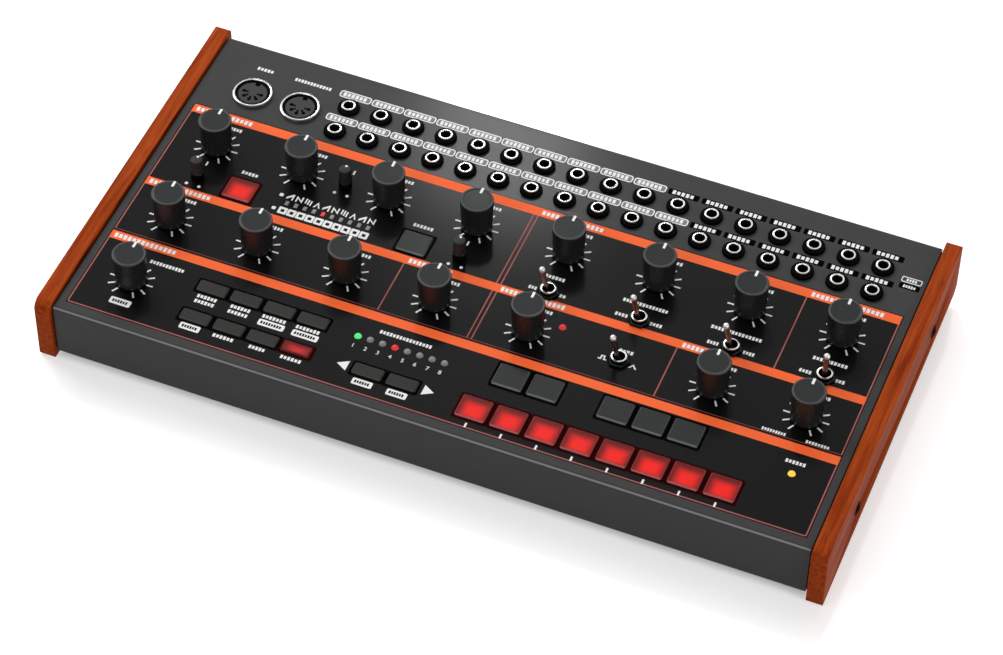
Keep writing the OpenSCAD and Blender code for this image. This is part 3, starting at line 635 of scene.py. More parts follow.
def add_piece(mesh: Mesh, body: str = CASE, stands_for: Sequence[str] = ()) -> bpy.types.Object:
    """Puts a finished mesh into the scene as a piece.

    Args:
        mesh: The mesh, with its place in it.
        body: The body that it moves with.
        stands_for: The CAD nodes that it replaces.

    Returns:
        The piece.
    """
    piece = add_object(mesh.name, mesh)
    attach(piece, body)
    if stands_for:
        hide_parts(*stands_for)
    log.info("piece %s on %s: %d faces", piece.name, body, len(mesh.polygons))
    return piece


def new_tree(name: str, **inputs: str) -> tuple[Tree, bpy.types.NodeOutputs]:
    """Starts a Geometry Nodes tree.

    Args:
        name: Its name.
        inputs: The type of each named input after the geometry.

    Returns:
        The tree and the sockets that bring its inputs.
    """
    tree = bpy.data.node_groups.new(name, "GeometryNodeTree")
    for label, kind in {"Geometry": "Geometry", **inputs}.items():
        tree.interface.new_socket(label, in_out="INPUT", socket_type="NodeSocket" + kind)
    tree.interface.new_socket("Geometry", in_out="OUTPUT", socket_type="NodeSocketGeometry")
    return tree, add_node(tree, "NodeGroupInput").outputs


def end_tree(tree: Tree, instances: Socket, material: Socket) -> None:
    """Ends a tree: the instances become real and take the material."""
    real = add_node(tree, "GeometryNodeRealizeInstances", {"Geometry": instances}).outputs["Geometry"]
    dressed = add_node(tree, "GeometryNodeSetMaterial", {"Geometry": real, "Material": material})
    add_node(tree, "NodeGroupOutput", {"Geometry": dressed.outputs["Geometry"]})


def copies(tree: Tree, points: Socket, shape: Socket, **inputs: Socket) -> Socket:
    """Adds a copy of a shape on every point."""
    inputs = {"Points": points, "Instance": shape, **inputs}
    return add_node(tree, "GeometryNodeInstanceOnPoints", inputs).outputs["Instances"]


@cache
def stamp_tree() -> Tree:
    """Makes the tree that sets one stamp on every point."""
    tree, given = new_tree("stamp_on_points", Stamp="Object", Material="Material")
    stamp = add_node(tree, "GeometryNodeObjectInfo", {"Object": given["Stamp"]})
    end_tree(tree, copies(tree, given["Geometry"], stamp.outputs["Geometry"]), given["Material"])
    return tree


def dial_tree() -> Tree:
    """Makes the tree that draws a scale of marks round every point."""
    sizes = dict.fromkeys(("Sweep", "Radius", "Length", "Width", "Thickness"), "Float")
    tree, given = new_tree("marks_round_points", Count="Int", **sizes, Material="Material")
    size = combine(tree, X=given["Width"], Y=given["Length"], Z=given["Thickness"])
    mark = add_node(tree, "GeometryNodeMeshCube", {"Size": size}).outputs["Mesh"]
    middle = calculate(tree, "MULTIPLY_ADD", given["Length"], 0.5, given["Radius"])
    moved = {"Geometry": mark, "Translation": combine(tree, Y=middle)}
    placed = add_node(tree, "GeometryNodeTransform", moved).outputs["Geometry"]
    index = add_node(tree, "GeometryNodeInputIndex").outputs[0]
    share = calculate(tree, "DIVIDE", index, calculate(tree, "SUBTRACT", given["Count"], 1.0))
    angle = calculate(tree, "MULTIPLY", calculate(tree, "SUBTRACT", share, 0.5), given["Sweep"])
    turn = add_node(tree, "FunctionNodeEulerToRotation", {"Euler": combine(tree, Z=angle)}).outputs[0]
    spokes = add_node(tree, "GeometryNodePoints", {"Count": given["Count"]}).outputs[0]
    scale = copies(tree, spokes, placed, Rotation=turn)
    end_tree(tree, copies(tree, given["Geometry"], scale), given["Material"])
    return tree


def grow(name: str, places: Sequence[Place], tree: Tree, **values: object) -> Mesh:
    """Runs a tree on a set of points.

    Args:
        name: The new mesh's name.
        places: The points, in millimetres.
        tree: The tree.
        values: The tree's inputs, by name.

    Returns:
        A plain mesh, in metres.
    """
    base = bpy.data.meshes.new(name + "_points")
    base.from_pydata([Vector(p) * MM for p in places], [], [])
    holder = add_object(base.name, base)
    modifier = holder.modifiers.new("grow", "NODES")
    modifier.node_group = tree
    sockets = {item.name: item.identifier for item in tree.interface.items_tree if item.in_out == "INPUT"}
    for label, value in values.items():
        modifier[sockets[label]] = value
    made = evaluated(holder)
    made.name = name
    bpy.data.objects.remove(holder)
    bpy.data.meshes.remove(base)
    return made


def add_stamped(name: str, shape: Solid, places: Sequence[Place],
                stands_for: Sequence[str] = ()) -> None:
    """Sets a shape, made about the origin, on every place and adds them to the case as one piece.

    Args:
        name: The piece's name.
        shape: The shape, of one finish.
        places: Where it stands, in millimetres.
        stands_for: The CAD nodes that the piece replaces.
    """
    mesh = shape.mesh(name + "_stamp")
    stamp = add_object(mesh.name, mesh)
    made = grow(name, places, stamp_tree(), Stamp=stamp, Material=shape.finishes[0].material())
    bpy.data.objects.remove(stamp)
    bpy.data.meshes.remove(mesh)
    add_piece(made, stands_for=stands_for)


def rounded(x0: float, x1: float, y0: float, y1: float, radius: float, steps: int = 4) -> list[Point]:
    """Gives a rectangle's outline with rounded corners.

    Args:
        x0: Its left side.
        x1: Its right side.
        y0: Its front side.
        y1: Its back side.
        radius: Radius of its corners.
        steps: Points less one on each corner.

    Returns:
        The corners' points in order.
    """
    left, right, front, back = x0 + radius, x1 - radius, y0 + radius, y1 - radius
    outline = []
    for corner, (x, y) in enumerate(((right, back), (left, back), (left, front), (right, front))):
        for step in range(steps + 1):
            angle = (corner + step / steps) * QUARTER_TURN
            outline.append((x + radius * math.cos(angle), y + radius * math.sin(angle)))
    return outline


@dataclass
class Studio:
    """The plain white set: floor, soft lights, and the camera at the photograph's angle."""

    floor_size: float = 12000.0
    floor_colour: str = "#e6e6e6"
    floor_roughness: float = 0.5
    floor_lift: float = 0.54
    floor_gloss: float = 1.9
    gloss_roughness: float = 0.12
    under: Point = (154.0, 82.0)
    under_fade: float = 6.0
    under_share: float = 0.2
    fill: float = 0.3
    lens: float = 125.963
    sensor: float = 36.0
    eye: tuple[float, float, float] = (328.037, -846.692, 1033.440)
    forward: tuple[float, float, float] = (-0.238315, 0.614987, -0.751662)
    roll: float = -1.0559

    def build(self) -> None:
        """Makes the whole set."""
        self.build_floor()
        self.light_world()
        self.add_softbox("softbox_left", (-1300, 500, 1100), (700, 700), 13.0)
        self.add_softbox("card_back", (-408, 1045, 1277), (1700, 1000), 6.2)
        self.add_softbox("softbox_front", (-350, -1050, 925), (1000, 500), 4.0)
        self.add_softbox("softbox_right", (1400, -300, 500), (600, 400), 5.5)
        self.add_softbox("strip_back", (-300, 1500, 480), (1400, 60), 3.0)
        self.add_softbox("card_sheen", (-386, 1000, 1033), (126, 146), 2.1, (-386, 0, 0))
        self.add_camera()

    def build_floor(self) -> None:
        """Lays the floor, which shows white and keeps the shadow."""
        half = self.floor_size / 2 * MM
        mesh = bpy.data.meshes.new("studio_floor")
        corners = [(-half, -half, 0), (half, -half, 0), (half, half, 0), (-half, half, 0)]
        mesh.from_pydata(corners, [], [(0, 1, 2, 3)])
        paint = bpy.data.materials.new("studio_floor_paint")
        paint.use_nodes = True
        tree = paint.node_tree
        feed(tree.nodes["Principled BSDF"], {
            "Base Color": linear(self.floor_colour), "Roughness": self.floor_roughness, "Coat Weight": 1.0,
            "Coat IOR": self.floor_gloss, "Coat Roughness": self.gloss_roughness,
            "Emission Color": WHITE_LIGHT, "Emission Strength": self.lift(tree)})
        mesh.materials.append(paint)
        add_object("studio_floor", mesh)

    def lift(self, tree: Tree) -> Socket:
        """Finds the light that the floor adds to what is seen of it: the full lift in the open, fading under the
        case into painted shade.

        Args:
            tree: The floor's tree.

        Returns:
            The emission's strength.
        """
        place = add_node(tree, "ShaderNodeNewGeometry").outputs["Position"]
        size = calculate_vector(tree, "ABSOLUTE", place)
        reach = (*(r * MM for r in self.under), 0.0)
        x, y, _ = split(tree, calculate_vector(tree, "SUBTRACT", size, reach))
        outside = calculate(tree, "MAXIMUM", x, y)
        fade = (-self.under_fade * MM, 0.0)
        # Under the case the lift drops to a share of itself, which paints shade there.
        light = remap(tree, outside, fade, (self.under_share * self.floor_lift, self.floor_lift))
        rays = add_node(tree, "ShaderNodeLightPath").outputs
        mirrored = calculate(tree, "MAXIMUM", rays["Is Glossy Ray"], rays["Is Transmission Ray"])
        return calculate(tree, "MULTIPLY", calculate(tree, "MAXIMUM", rays["Is Camera Ray"], mirrored), light)

    def light_world(self) -> None:
        """Makes the surroundings an even pale grey, as a soft fill light."""
        world = bpy.data.worlds.new("studio_world")
        world.use_nodes = True
        bpy.context.scene.world = world
        feed(world.node_tree.nodes["Background"], {"Color": WHITE_LIGHT, "Strength": self.fill})

    def add_softbox(self, name: str, place: Place, size: Point, power: float, aim: Place = (0, 0, 0)) -> None:
        """Adds a rectangular light.

        Args:
            name: Its name.
            place: Where it hangs.
            size: Its width and height.
            power: Its power in watts.
            aim: The point that it looks at.
        """
        lamp = bpy.data.lights.new(name, "AREA")
        lamp.shape = "RECTANGLE"
        lamp.size, lamp.size_y = size[0] * MM, size[1] * MM
        lamp.energy = power
        holder = add_object(name, lamp)
        holder.location = Vector(place) * MM
        holder.rotation_euler = (Vector(aim) - Vector(place)).to_track_quat("-Z", "Y").to_euler()

    def add_camera(self) -> None:
        """Sets up the camera."""
        camera = bpy.data.cameras.new("camera")
        camera.lens = self.lens
        camera.sensor_width = self.sensor
        camera.sensor_fit = "HORIZONTAL"
        forward = Vector(self.forward).normalized()
        level = forward.cross(Vector((0, 0, 1))).normalized()
        down = forward.cross(level)
        tilt = math.radians(self.roll)
        right = math.cos(tilt) * level + math.sin(tilt) * down
        up = right.cross(forward)
        turn = Matrix((right, up, -forward)).transposed().to_4x4()
        holder = add_object("camera", camera)
        holder.matrix_world = Matrix.Translation(Vector(self.eye) * MM) @ turn
        bpy.context.scene.camera = holder


@dataclass
class WoodCheeks:
    """The two wooden cheeks, with their edges eased and holes for the screws."""

    screw_rows: ClassVar[Point] = (-45.0, 49.0)
    screw_height: ClassVar[float] = 14.5
    front_radius: float = 4.2
    back_radius: float = 4.5
    small_radius: float = 1.2
    back_lift: float = 4.5
    edge: float = 0.9
    edge_steps: int = 4
    arc_steps: int = 10
    sharp: float = 50.0
    screw_head: float = 6.5
    sink: float = 1.75
    sink_from: float = 0.25
    hole_depth: float = 3.0

    def outline(self, low: Vector, high: Vector) -> list[Point]:
        """Draws the cheek's side view.

        Args:
            low: Lowest corner of the cheek's box.
            high: Highest corner of the cheek's box.

        Returns:
            Points of Y and Z in order.
        """
        raised = self.back_lift
        corners = ((high.y, high.z, self.small_radius, (-1, -1)), (low.y, high.z, self.front_radius, (1, -1)),
                   (low.y, low.z, self.small_radius, (1, 1)), (high.y, raised, self.back_radius, (-1, 1)))
        points = []
        for quarter, (y, z, radius, inward) in enumerate(corners):
            if quarter == 3:
                points += [(low.y + 2 * self.small_radius, low.z), (high.y - 2 * self.back_radius, raised)]
            for step in range(self.arc_steps + 1):
                angle = (quarter + step / self.arc_steps) * QUARTER_TURN
                points.append((y + radius * (inward[0] + math.cos(angle)),
                               z + radius * (inward[1] + math.sin(angle))))
        return points

    def build(self) -> None:
        """Makes both cheeks."""
        for node in ("left_cheek", "right_cheek"):
            low, high = node_box(node)
            side = self.outline(low, high)
            shape = Solid()
            loops = [[shape.bm.verts.new((x, y, z)) for y, z in side] for x in (low.x, high.x)]
            ends = [shape.bm.faces.new(loop) for loop in loops]
            shape.paint(ends + shape.bridge(*loops), WOOD)
            shape.ease({edge for face in ends for edge in face.edges}, self.edge, self.edge_steps)
            piece = add_piece(shape.mesh(node + "_wood", self.sharp), stands_for=[node])
            self.bore(piece, high.x if node == "right_cheek" else low.x)

    def bore(self, piece: bpy.types.Object, outer: float) -> None:
        """Cuts the countersinks for the two screws.

        Args:
            piece: The cheek.
            outer: X of its outer face.
        """
        turn = Matrix.Rotation(math.copysign(QUARTER_TURN, outer), 4, "Y")
        radius = self.screw_head / 2
        shank = radius - self.sink
        profile = [(0, 1.0), (radius, 1.0), (radius, -self.sink_from), (shank, -self.sink_from - self.sink),
                   (shank, -self.hole_depth), (0, -self.hole_depth)]
        cutter = Solid()
        for reach in self.screw_rows:
            place = Matrix.Translation((outer, reach, self.screw_height))
            cutter.join(turned(profile, WOOD), place @ turn)
        tool = add_object("cutter", cutter.mesh("cutter"))
        cut = piece.modifiers.new("countersinks", "BOOLEAN")
        cut.object = tool
        cut.solver = "EXACT"
        bored = evaluated(piece)
        piece.modifiers.remove(cut)
        bored.name = piece.name
        piece.data = bored
        bpy.data.objects.remove(tool)


@dataclass
class SheetCase:
    """The bent sheet cover, the tray and the board inside, which keep their CAD shapes."""

    weld: float = 0.001
    smooth_angle: float = 30.0
    board_top: float = 16.05

    def dress(self) -> None:
        """Gives the three CAD nodes their finishes."""
        self.finish("top_cover", PANEL_COAT)
        self.finish("bottom_tray", TRAY_COAT)
        self.finish("control_board", BOARD, SOCKET, self.board_top)

    def finish(self, node: str, lower: Finish, upper: Finish | None = None, above: float = 0.0) -> None:
        """Gives a CAD node its finishes and smooth shading on its rounds.

        Args:
            node: The node's name.
            lower: Its material.
            upper: A second material for its upper part.
            above: Height above which the second one begins.
        """
        piece = frame["nodes"][node]
        faces = piece.data.polygons
        piece.data.materials.clear()
        piece.data.materials.append(lower.material())
        if upper:
            piece.data.materials.append(upper.material())
            for face in faces:
                face.material_index = int(face.center.z > above * MM)
        faces.foreach_set("use_smooth", [True] * len(faces))
        weld = piece.modifiers.new("weld", "WELD")
        weld.merge_threshold = self.weld * MM
        crisp = piece.modifiers.new("crisp_edges", "EDGE_SPLIT")
        crisp.split_angle = math.radians(self.smooth_angle)
        flat = piece.modifiers.new("flat_faces", "WEIGHTED_NORMAL")
        flat.keep_sharp = True
        log.info("node %s dressed", node)


class Stencil(Solid):
    """Flat marks of one ink on the panel, printed as one thin piece."""

    SUNK = 0.02
    LETTER_PITCH = 0.8
    LETTER_WIDTH = 0.7
    SMALL_LETTER = 0.84
    DIGIT_SHARE = 0.7

    def __init__(self, finish: Finish, rise: float) -> None:
        """Starts an empty stencil.

        Args:
            finish: The ink.
            rise: Height of the ink's face above the panel.
        """
        super().__init__()
        self.ink = finish
        self.low = PANEL - self.SUNK
        self.high = PANEL + rise

    def box(self, x0: float, x1: float, y0: float, y1: float, radius: float = 0.0) -> None:
        """Prints a filled rectangle, with rounded corners if a radius is given."""
        y0, y1 = sorted((y0, y1))
        corners = rounded(x0, x1, y0, y1, radius) if radius else [(x1, y1), (x0, y1), (x0, y0), (x1, y0)]
        self.polygon(corners)

    def around(self, x: float, y: float, half_x: float, half_y: float, radius: float = 0.0) -> None:
        """Prints a filled rectangle about its middle."""
        self.box(x - half_x, x + half_x, y - half_y, y + half_y, radius)

    def ring(self, x: float, y: float, half_x: float, half_y: float, line: float, radius: float) -> None:
        """Prints a rectangle's outline about its middle, with rounded corners."""
        outer = (x - half_x, x + half_x, y - half_y, y + half_y)
        inner = (side + way * line for side, way in zip(outer, (1, -1, 1, -1)))
        hole = rounded(*inner, max(radius - line, 0.05))
        self.slab(rounded(*outer, radius), self.low, self.high, self.ink, hole)

    def polygon(self, corners: Sequence[Point]) -> None:
        """Prints a filled polygon."""
        self.slab(corners, self.low, self.high, self.ink)

    def words(self, x0: float, x1: float, y: float, height: float) -> None:
        """Fills a label's place with plain blocks, one for each letter that would fit.

        Args:
            x0: Left end.
            x1: Right end.
            y: Middle of the line.
            height: Height of a block.
        """
        count = max(2, round((x1 - x0) / (height * self.LETTER_PITCH)))
        step = (x1 - x0) / count
        for k in range(count):
            tall = height * (self.SMALL_LETTER if k % 3 == 1 else 1.0)
            self.box(x0 + k * step, x0 + (k + self.LETTER_WIDTH) * step, y - tall / 2, y + tall / 2)

    def number(self, text: str, x: float, y: float, height: float) -> None:
        """Prints a plain number.

        Args:
            text: The number.
            x: Its middle.
            y: Its middle.
            height: Height of its digits.
        """
        curve = bpy.data.curves.new("number", "FONT")
        curve.body = text
        curve.size = height / self.DIGIT_SHARE
        curve.align_x = curve.align_y = "CENTER"
        curve.extrude = (self.high - self.low) / 2
        holder = add_object("number", curve)
        flat = evaluated(holder)
        flat.transform(Matrix.Translation((x, y, (self.low + self.high) / 2)))
        flat.materials.clear()
        before = len(self.bm.verts)
        self.bm.from_mesh(flat)
        self.bm.verts.ensure_lookup_table()
        bmesh.ops.remove_doubles(self.bm, verts=self.bm.verts[before:], dist=0.001)
        bpy.data.objects.remove(holder)
        bpy.data.meshes.remove(flat)


@dataclass
class PanelPrint:
    """What is printed on the panel: stripes, lines, scales and the places of labels."""

    left: float = -149.3
    right: float = 149.2
    line: float = 0.5
    fine_line: float = 0.15
    corner: float = 0.9
    stripes: tuple[Point, ...] = ((35.1, 39.5), (-8.2, -4.1), (-39.6, -35.4))
    stripe_gap: float = 1.1
    front: float = -75.7
    centre_gap: float = 1.8
    letter: float = 1.7
    small_letter: float = 1.4
    strip_letter: float = 2.1
    heading: float = 2.3
    digit: float = 1.9
    ticks: int = 11
    sweep: float = 300.0
    tick_start: float = 6.3
    tick_length: float = 2.75
    tick_width: float = 0.68
    tick_rise: float = 0.015
    tick_thickness: float = 0.07
    surround: float = 1.05
    key_gap: float = 0.32
    surround_corner: float = 0.8
    knob_label_half: float = 6.0
    knob_label_rise: float = 11.6
    pill_half: float = 1.55
    pill_corner: float = 0.6
    pill_margin: float = 1.0
    overprint: float = 0.02
    strip_half: float = 6.4
    strip_rise: float = 7.1
    number_row: float = -54.4
    sign_row: float = 7.0
    dot: float = 0.7
    dot_ring: float = 5.4
    orange: Stencil = field(default_factory=lambda: Stencil(ORANGE_INK, 0.03))
    thin: Stencil = field(default_factory=lambda: Stencil(LINE_INK, 0.025))
    red: Stencil = field(default_factory=lambda: Stencil(PAINTED_GLOW_INK, 0.02))
    white: Stencil = field(default_factory=lambda: Stencil(WHITE_INK, 0.05))
    black: Stencil = field(default_factory=lambda: Stencil(BLACK_INK, 0.02))
    grey: Stencil = field(default_factory=lambda: Stencil(GREY_INK, 0.02))

    def build(self) -> None:
        """Prints everything."""
        self.stripes_and_lines()
        self.headings()
        self.knob_labels()
        self.toggle_labels()
        self.trimmer_dots()
        self.key_surrounds()
        self.key_labels()
        self.lamp_labels()
        self.jack_labels()
        prints = {"orange": self.orange, "thin_lines": self.thin, "white": self.white, "black": self.black,
                  "dark_red": self.red, "grey": self.grey}
        for name, stencil in prints.items():
            add_piece(stencil.mesh("print_" + name))
        self.scales()

    def label(self, x: float, y: float, left: float, right: float) -> None:
        """Fills a label's place, whose ends are given from X."""
        self.white.words(x + left, x + right, y, self.letter)

    def border(self, back: float) -> None:
        """Prints the thin line round the field's front end.

        Args:
            back: Y of its two open ends.
        """
        left, right = self.left + self.line, self.right - self.line
        outer = rounded(self.left, self.right, self.front, back, self.corner)
        inner = rounded(left, right, self.front + self.line, back, self.corner - self.line)
        arcs = slice(len(outer) // 2, None)
        path = [(self.left, back), *outer[arcs], (self.right, back)]
        self.thin.polygon([*path, (right, back), *reversed(inner[arcs]), (left, back)])

    def stripes_and_lines(self) -> None:
        """Prints the thick stripes and the thin lines that divide the field."""
        for y0, y1 in self.stripes:
            self.orange.box(self.left, self.right, y0, y1)
        back, middle, third = self.stripes
        above_third = third[1] + self.stripe_gap
        half, fine = self.line / 2, self.fine_line / 2
        both = (self.left + half, self.right - half, -self.centre_gap / 2, self.centre_gap / 2)
        fields = (((*both, 112.0), middle[1], back[0]), ((*both, -37.8, 74.8), above_third, middle[0]))
        for places, y0, y1 in fields:
            for x in places:
                self.thin.box(x - half, x + half, y0, y1)
        self.thin.box(self.left, self.right, above_third - fine, above_third + fine)
        self.border(third[0])

    def headings(self) -> None:
        """Fills the places of the headings on the stripes."""
        rows = (((-147.6, -122.8), (1.9, 27.8), (113.3, 142.8)),
                ((-147.6, -121.0), (-36.6, -18.2), (1.9, 28.6), (76.2, 94.0)),
                ((-147.6, -121.0),))
        for stripe, spans in zip(self.stripes, rows):
            for x0, x1 in spans:
                self.white.words(x0, x1, sum(stripe) / 2, self.heading)

    def knob_labels(self) -> None:
        """Fills the places of the labels behind the knobs, and of those by two knobs with more."""
        for node in numbered("knob_back_") + numbered("knob_middle_"):
            x, y, _ = node_centre(node)
            self.label(x, y + self.knob_label_rise, -self.knob_label_half, self.knob_label_half)
        x, y, _ = node_centre("knob_front_1")
        self.label(x, y + 11.8, 2.4, 17.0)
        self.white.box(x - 3.5, x + 5.2, y - 13.3, y - 10.0, self.pill_corner)
        self.black_on_white(x - 2.4, x + 4.1, y - 11.65)
        x, y, _ = node_centre("knob_middle_8")
        for left, right in ((-13.7, -4.1), (3.6, 13.0)):
            self.white.words(x + left, x + right, y - 11.0, self.small_letter)

    def toggle_labels(self) -> None:
        """Fills the places of the labels round the toggles: one behind each and one on either side."""
        spans = (((-4.2, 4.2), (-8.0, -4.4), (4.7, 7.5)), ((-9.3, 9.2), (-9.7, -4.3), (4.4, 9.6)),
                 ((-10.7, 9.9), (-9.6, -4.8), (4.8, 9.6)), ((-7.1, 6.9), (-10.0, -4.9), (4.4, 8.3)))
        for node, labels in zip(numbered("toggle_lever_"), spans):
            x, y = pivot(node)
            for (left, right), rise in zip(labels, (7.8, 0.0, 0.0)):
                self.label(x, y + rise, left, right)
        x, y = pivot("toggle_lever_5")
        self.label(x, y + 5.0, -1.6, 4.4)
        self.square_wave(x - 6.1, y - 0.9)
        self.pointed_wave(x + 6.1, y - 0.9)

    def square_wave(self, x: float, y: float) -> None:
        """Prints a square wave about its middle."""
        pen, tall, reach, step = 0.55, 2.2, 1.7, 0.9
        low, high = y - tall / 2, y + tall / 2
        half = [(step - pen, high - pen), (step - pen, low), (reach, low), (reach, low + pen),
                (step, low + pen), (step, high)]
        mirrored = [(-dx, level) for dx, level in reversed(half)]
        self.white.polygon([(x + dx, level) for dx, level in half + mirrored])

    def pointed_wave(self, x: float, y: float) -> None:
        """Prints a pointed wave about its middle."""
        pen, tall, reach = 0.55, 2.2, 1.7
        low, high = y - tall / 2, y + tall / 2
        inner = reach - 1.4 * pen
        self.white.polygon([(x - reach, low), (x - inner, low), (x, high - 1.6 * pen), (x + inner, low),
                            (x + reach, low), (x, high)])

    def key_surrounds(self) -> None:
        """Prints a black ring round every key's opening as painted shade in its gap, and a dark red one round the
        lit keys' openings as their painted glow.
        """
        lit = Keys.lit()
        for node in named("key_"):
            x, y, _ = node_centre(node)
            half_x, half_y = (size / 2 + self.surround for size in Keys.cap(node))
            # Black paints shade round each opening; dark red paints the glow that a lit key spills there.
            stencil = self.red if node in lit else self.black
            stencil.ring(x, y, half_x, half_y, self.surround - self.key_gap, self.surround_corner)

    def key_labels(self) -> None:
        """Fills the places of the labels by the keys."""
        for node, half in (("key_bank", 3.6), ("key_model", 4.3)):
            x, y, _ = node_centre(node)
            self.label(x, y + 9.4, -half, half)
        for number, node in enumerate(numbered("key_small_")[:8]):
            x, y, _ = node_centre(node)
            column, row = number % 4, number // 4
            if row == 0 and column < 2:
                for drop in (5.0, 7.7):
                    self.label(x, y - drop, -4.2, 4.2)
            elif row == 0:
                self.label(x, y - 4.9, -5.0, 5.0)
                self.pill(x, y - 8.1, 5.4)
            elif column == 0:
                self.pill(x, y - 5.4, 4.2)
            else:
                self.label(x, y - 5.3, -3.4 - column % 2, 3.4 + column % 2)
        for node, side in (("key_small_9", -1), ("key_small_10", 1)):
            x, y, _ = node_centre(node)
            self.pill(x, y - 5.8, 4.1)
            tip = x + side * 12.8
            self.white.polygon([(tip, y), (tip - side * 4.4, y + 2.5), (tip - side * 4.4, y - 2.5)])
        for node in numbered("key_step_"):
            x, y, _ = node_centre(node)
            self.white.around(x, y - 8.35, 0.4, 1.1)

    def pill(self, x: float, y: float, half: float) -> None:
        """Prints a filled label with the place of its words left dark."""
        self.white.around(x, y, half, self.pill_half, self.pill_corner)
        self.black_on_white(x - half + self.pill_margin, x + half - self.pill_margin, y)

    def black_on_white(self, x0: float, x1: float, y: float) -> None:
        """Prints dark blocks over a white label."""
        high = self.black.high
        self.black.high = self.white.high + self.overprint
        self.black.words(x0, x1, y, self.small_letter)
        self.black.high = high

    def lamp_labels(self) -> None:
        """Prints what stands by the lamps."""
        self.white.words(-32.4, -10.9, -44.05, self.letter)
        self.white.words(130.6, 138.7, -44.4, self.letter)
        for i, (x, _, _) in enumerate(Lamps.row_places()):
            self.white.number(str(i + 1), x, self.number_row, self.digit)
        for i, (x, _, _) in enumerate(Lamps.slim_places()):
            self.white.ring(x, -0.9, 1.8, 1.8, 1.05, 0.5)
            self.sign(x, self.sign_row, i % 4)
        for y in (6.8, -0.8):
            self.white.around(-96.5, y, 0.8, 0.8, 0.4)

    def sign(self, x: float, y: float, kind: int) -> None:
        """Prints a small wave sign.

        Args:
            x: Its middle.
            y: Its middle.
            kind: Which of four waves it is.
        """
        pen, tall, reach = 0.6, 1.6, 1.4
        inner, short = reach - pen, tall - 2 * pen
        waves = {0: ((-reach, -tall), (inner, short), (inner, -tall), (reach, -tall), (reach, tall),
                     (inner, tall), (-reach, -short)),
                 1: ((-reach, tall), (-reach, -tall), (-inner, -tall), (-inner, short), (reach, -tall),
                     (reach, tall), (inner, tall), (inner, -short)),
                 3: ((-reach, -tall), (-inner, -tall), (0, short), (inner, -tall), (reach, -tall), (0, tall))}
        if kind in waves:
            self.white.polygon([(x + dx, y + dy) for dx, dy in waves[kind]])
            return
        for k in range(3):
            left = x - reach + k * (reach - pen / 2)
            self.white.box(left, left + pen, y - tall * (0.6 + 0.2 * k), y + tall * (1.0 - 0.15 * k))

    def jack_labels(self) -> None:
        """Prints the label strips of the jacks and the round sockets."""
        framed = {"back": 10, "front": 11}
        for name, (x, y, _) in mounts("jack_").items():
            _, row, number = name.split("_")
            y += self.strip_rise
            if int(number) <= framed[row]:
                self.grey.around(x, y, self.strip_half, 1.5, 0.8)
                self.white.ring(x, y, 6.8, 1.9, 0.5, 1.2)
                self.white.words(x - 5.2, x + 5.2, y, self.strip_letter)
            else:
                self.black.around(x, y, self.strip_half, 1.6, 0.5)
                self.white.words(x - 4.6, x + 4.6, y, self.strip_letter)
        self.white.words(-134.6, -127.3, 67.7, self.letter)
        self.white.words(-117.9, -101.7, 67.7, self.letter)
        self.white.ring(146.9, 58.45, 4.1, 1.45, 0.4, 0.6)
        self.white.words(144.8, 149.2, 58.45, 1.3)
        self.black.box(142.8, 151.0, 53.6, 56.5, 0.5)
        self.white.words(144.4, 149.6, 55.0, self.small_letter)

    def scales(self) -> None:
        """Draws the scales round the knobs."""
        places = [(*node_centre(node).xy, PANEL + self.tick_rise) for node in sorted(named("knob_"))]
        sizes = {"Radius": self.tick_start, "Length": self.tick_length, "Width": self.tick_width,
                 "Thickness": self.tick_thickness}
        mesh = grow("print_knob_scales", places, dial_tree(), Count=self.ticks,
                    Sweep=math.radians(self.sweep), Material=WHITE_INK.material(),
                    **{name: size * MM for name, size in sizes.items()})
        add_piece(mesh)

    def trimmer_dots(self) -> None:
        """Prints two dots in front of each trimmer and a mark behind it."""
        for node in numbered("trim_knob_"):
            x, y, _ = node_centre(node)
            self.white.around(x + 0.3, y + 8.0, self.tick_width / 2, 1.1)
            for angle in (-self.sweep / 2, self.sweep / 2):
                turn = math.radians(angle)
                spot = x + self.dot_ring * math.sin(turn), y + self.dot_ring * math.cos(turn)
                self.white.around(*spot, self.dot, self.dot, self.dot * 0.98)


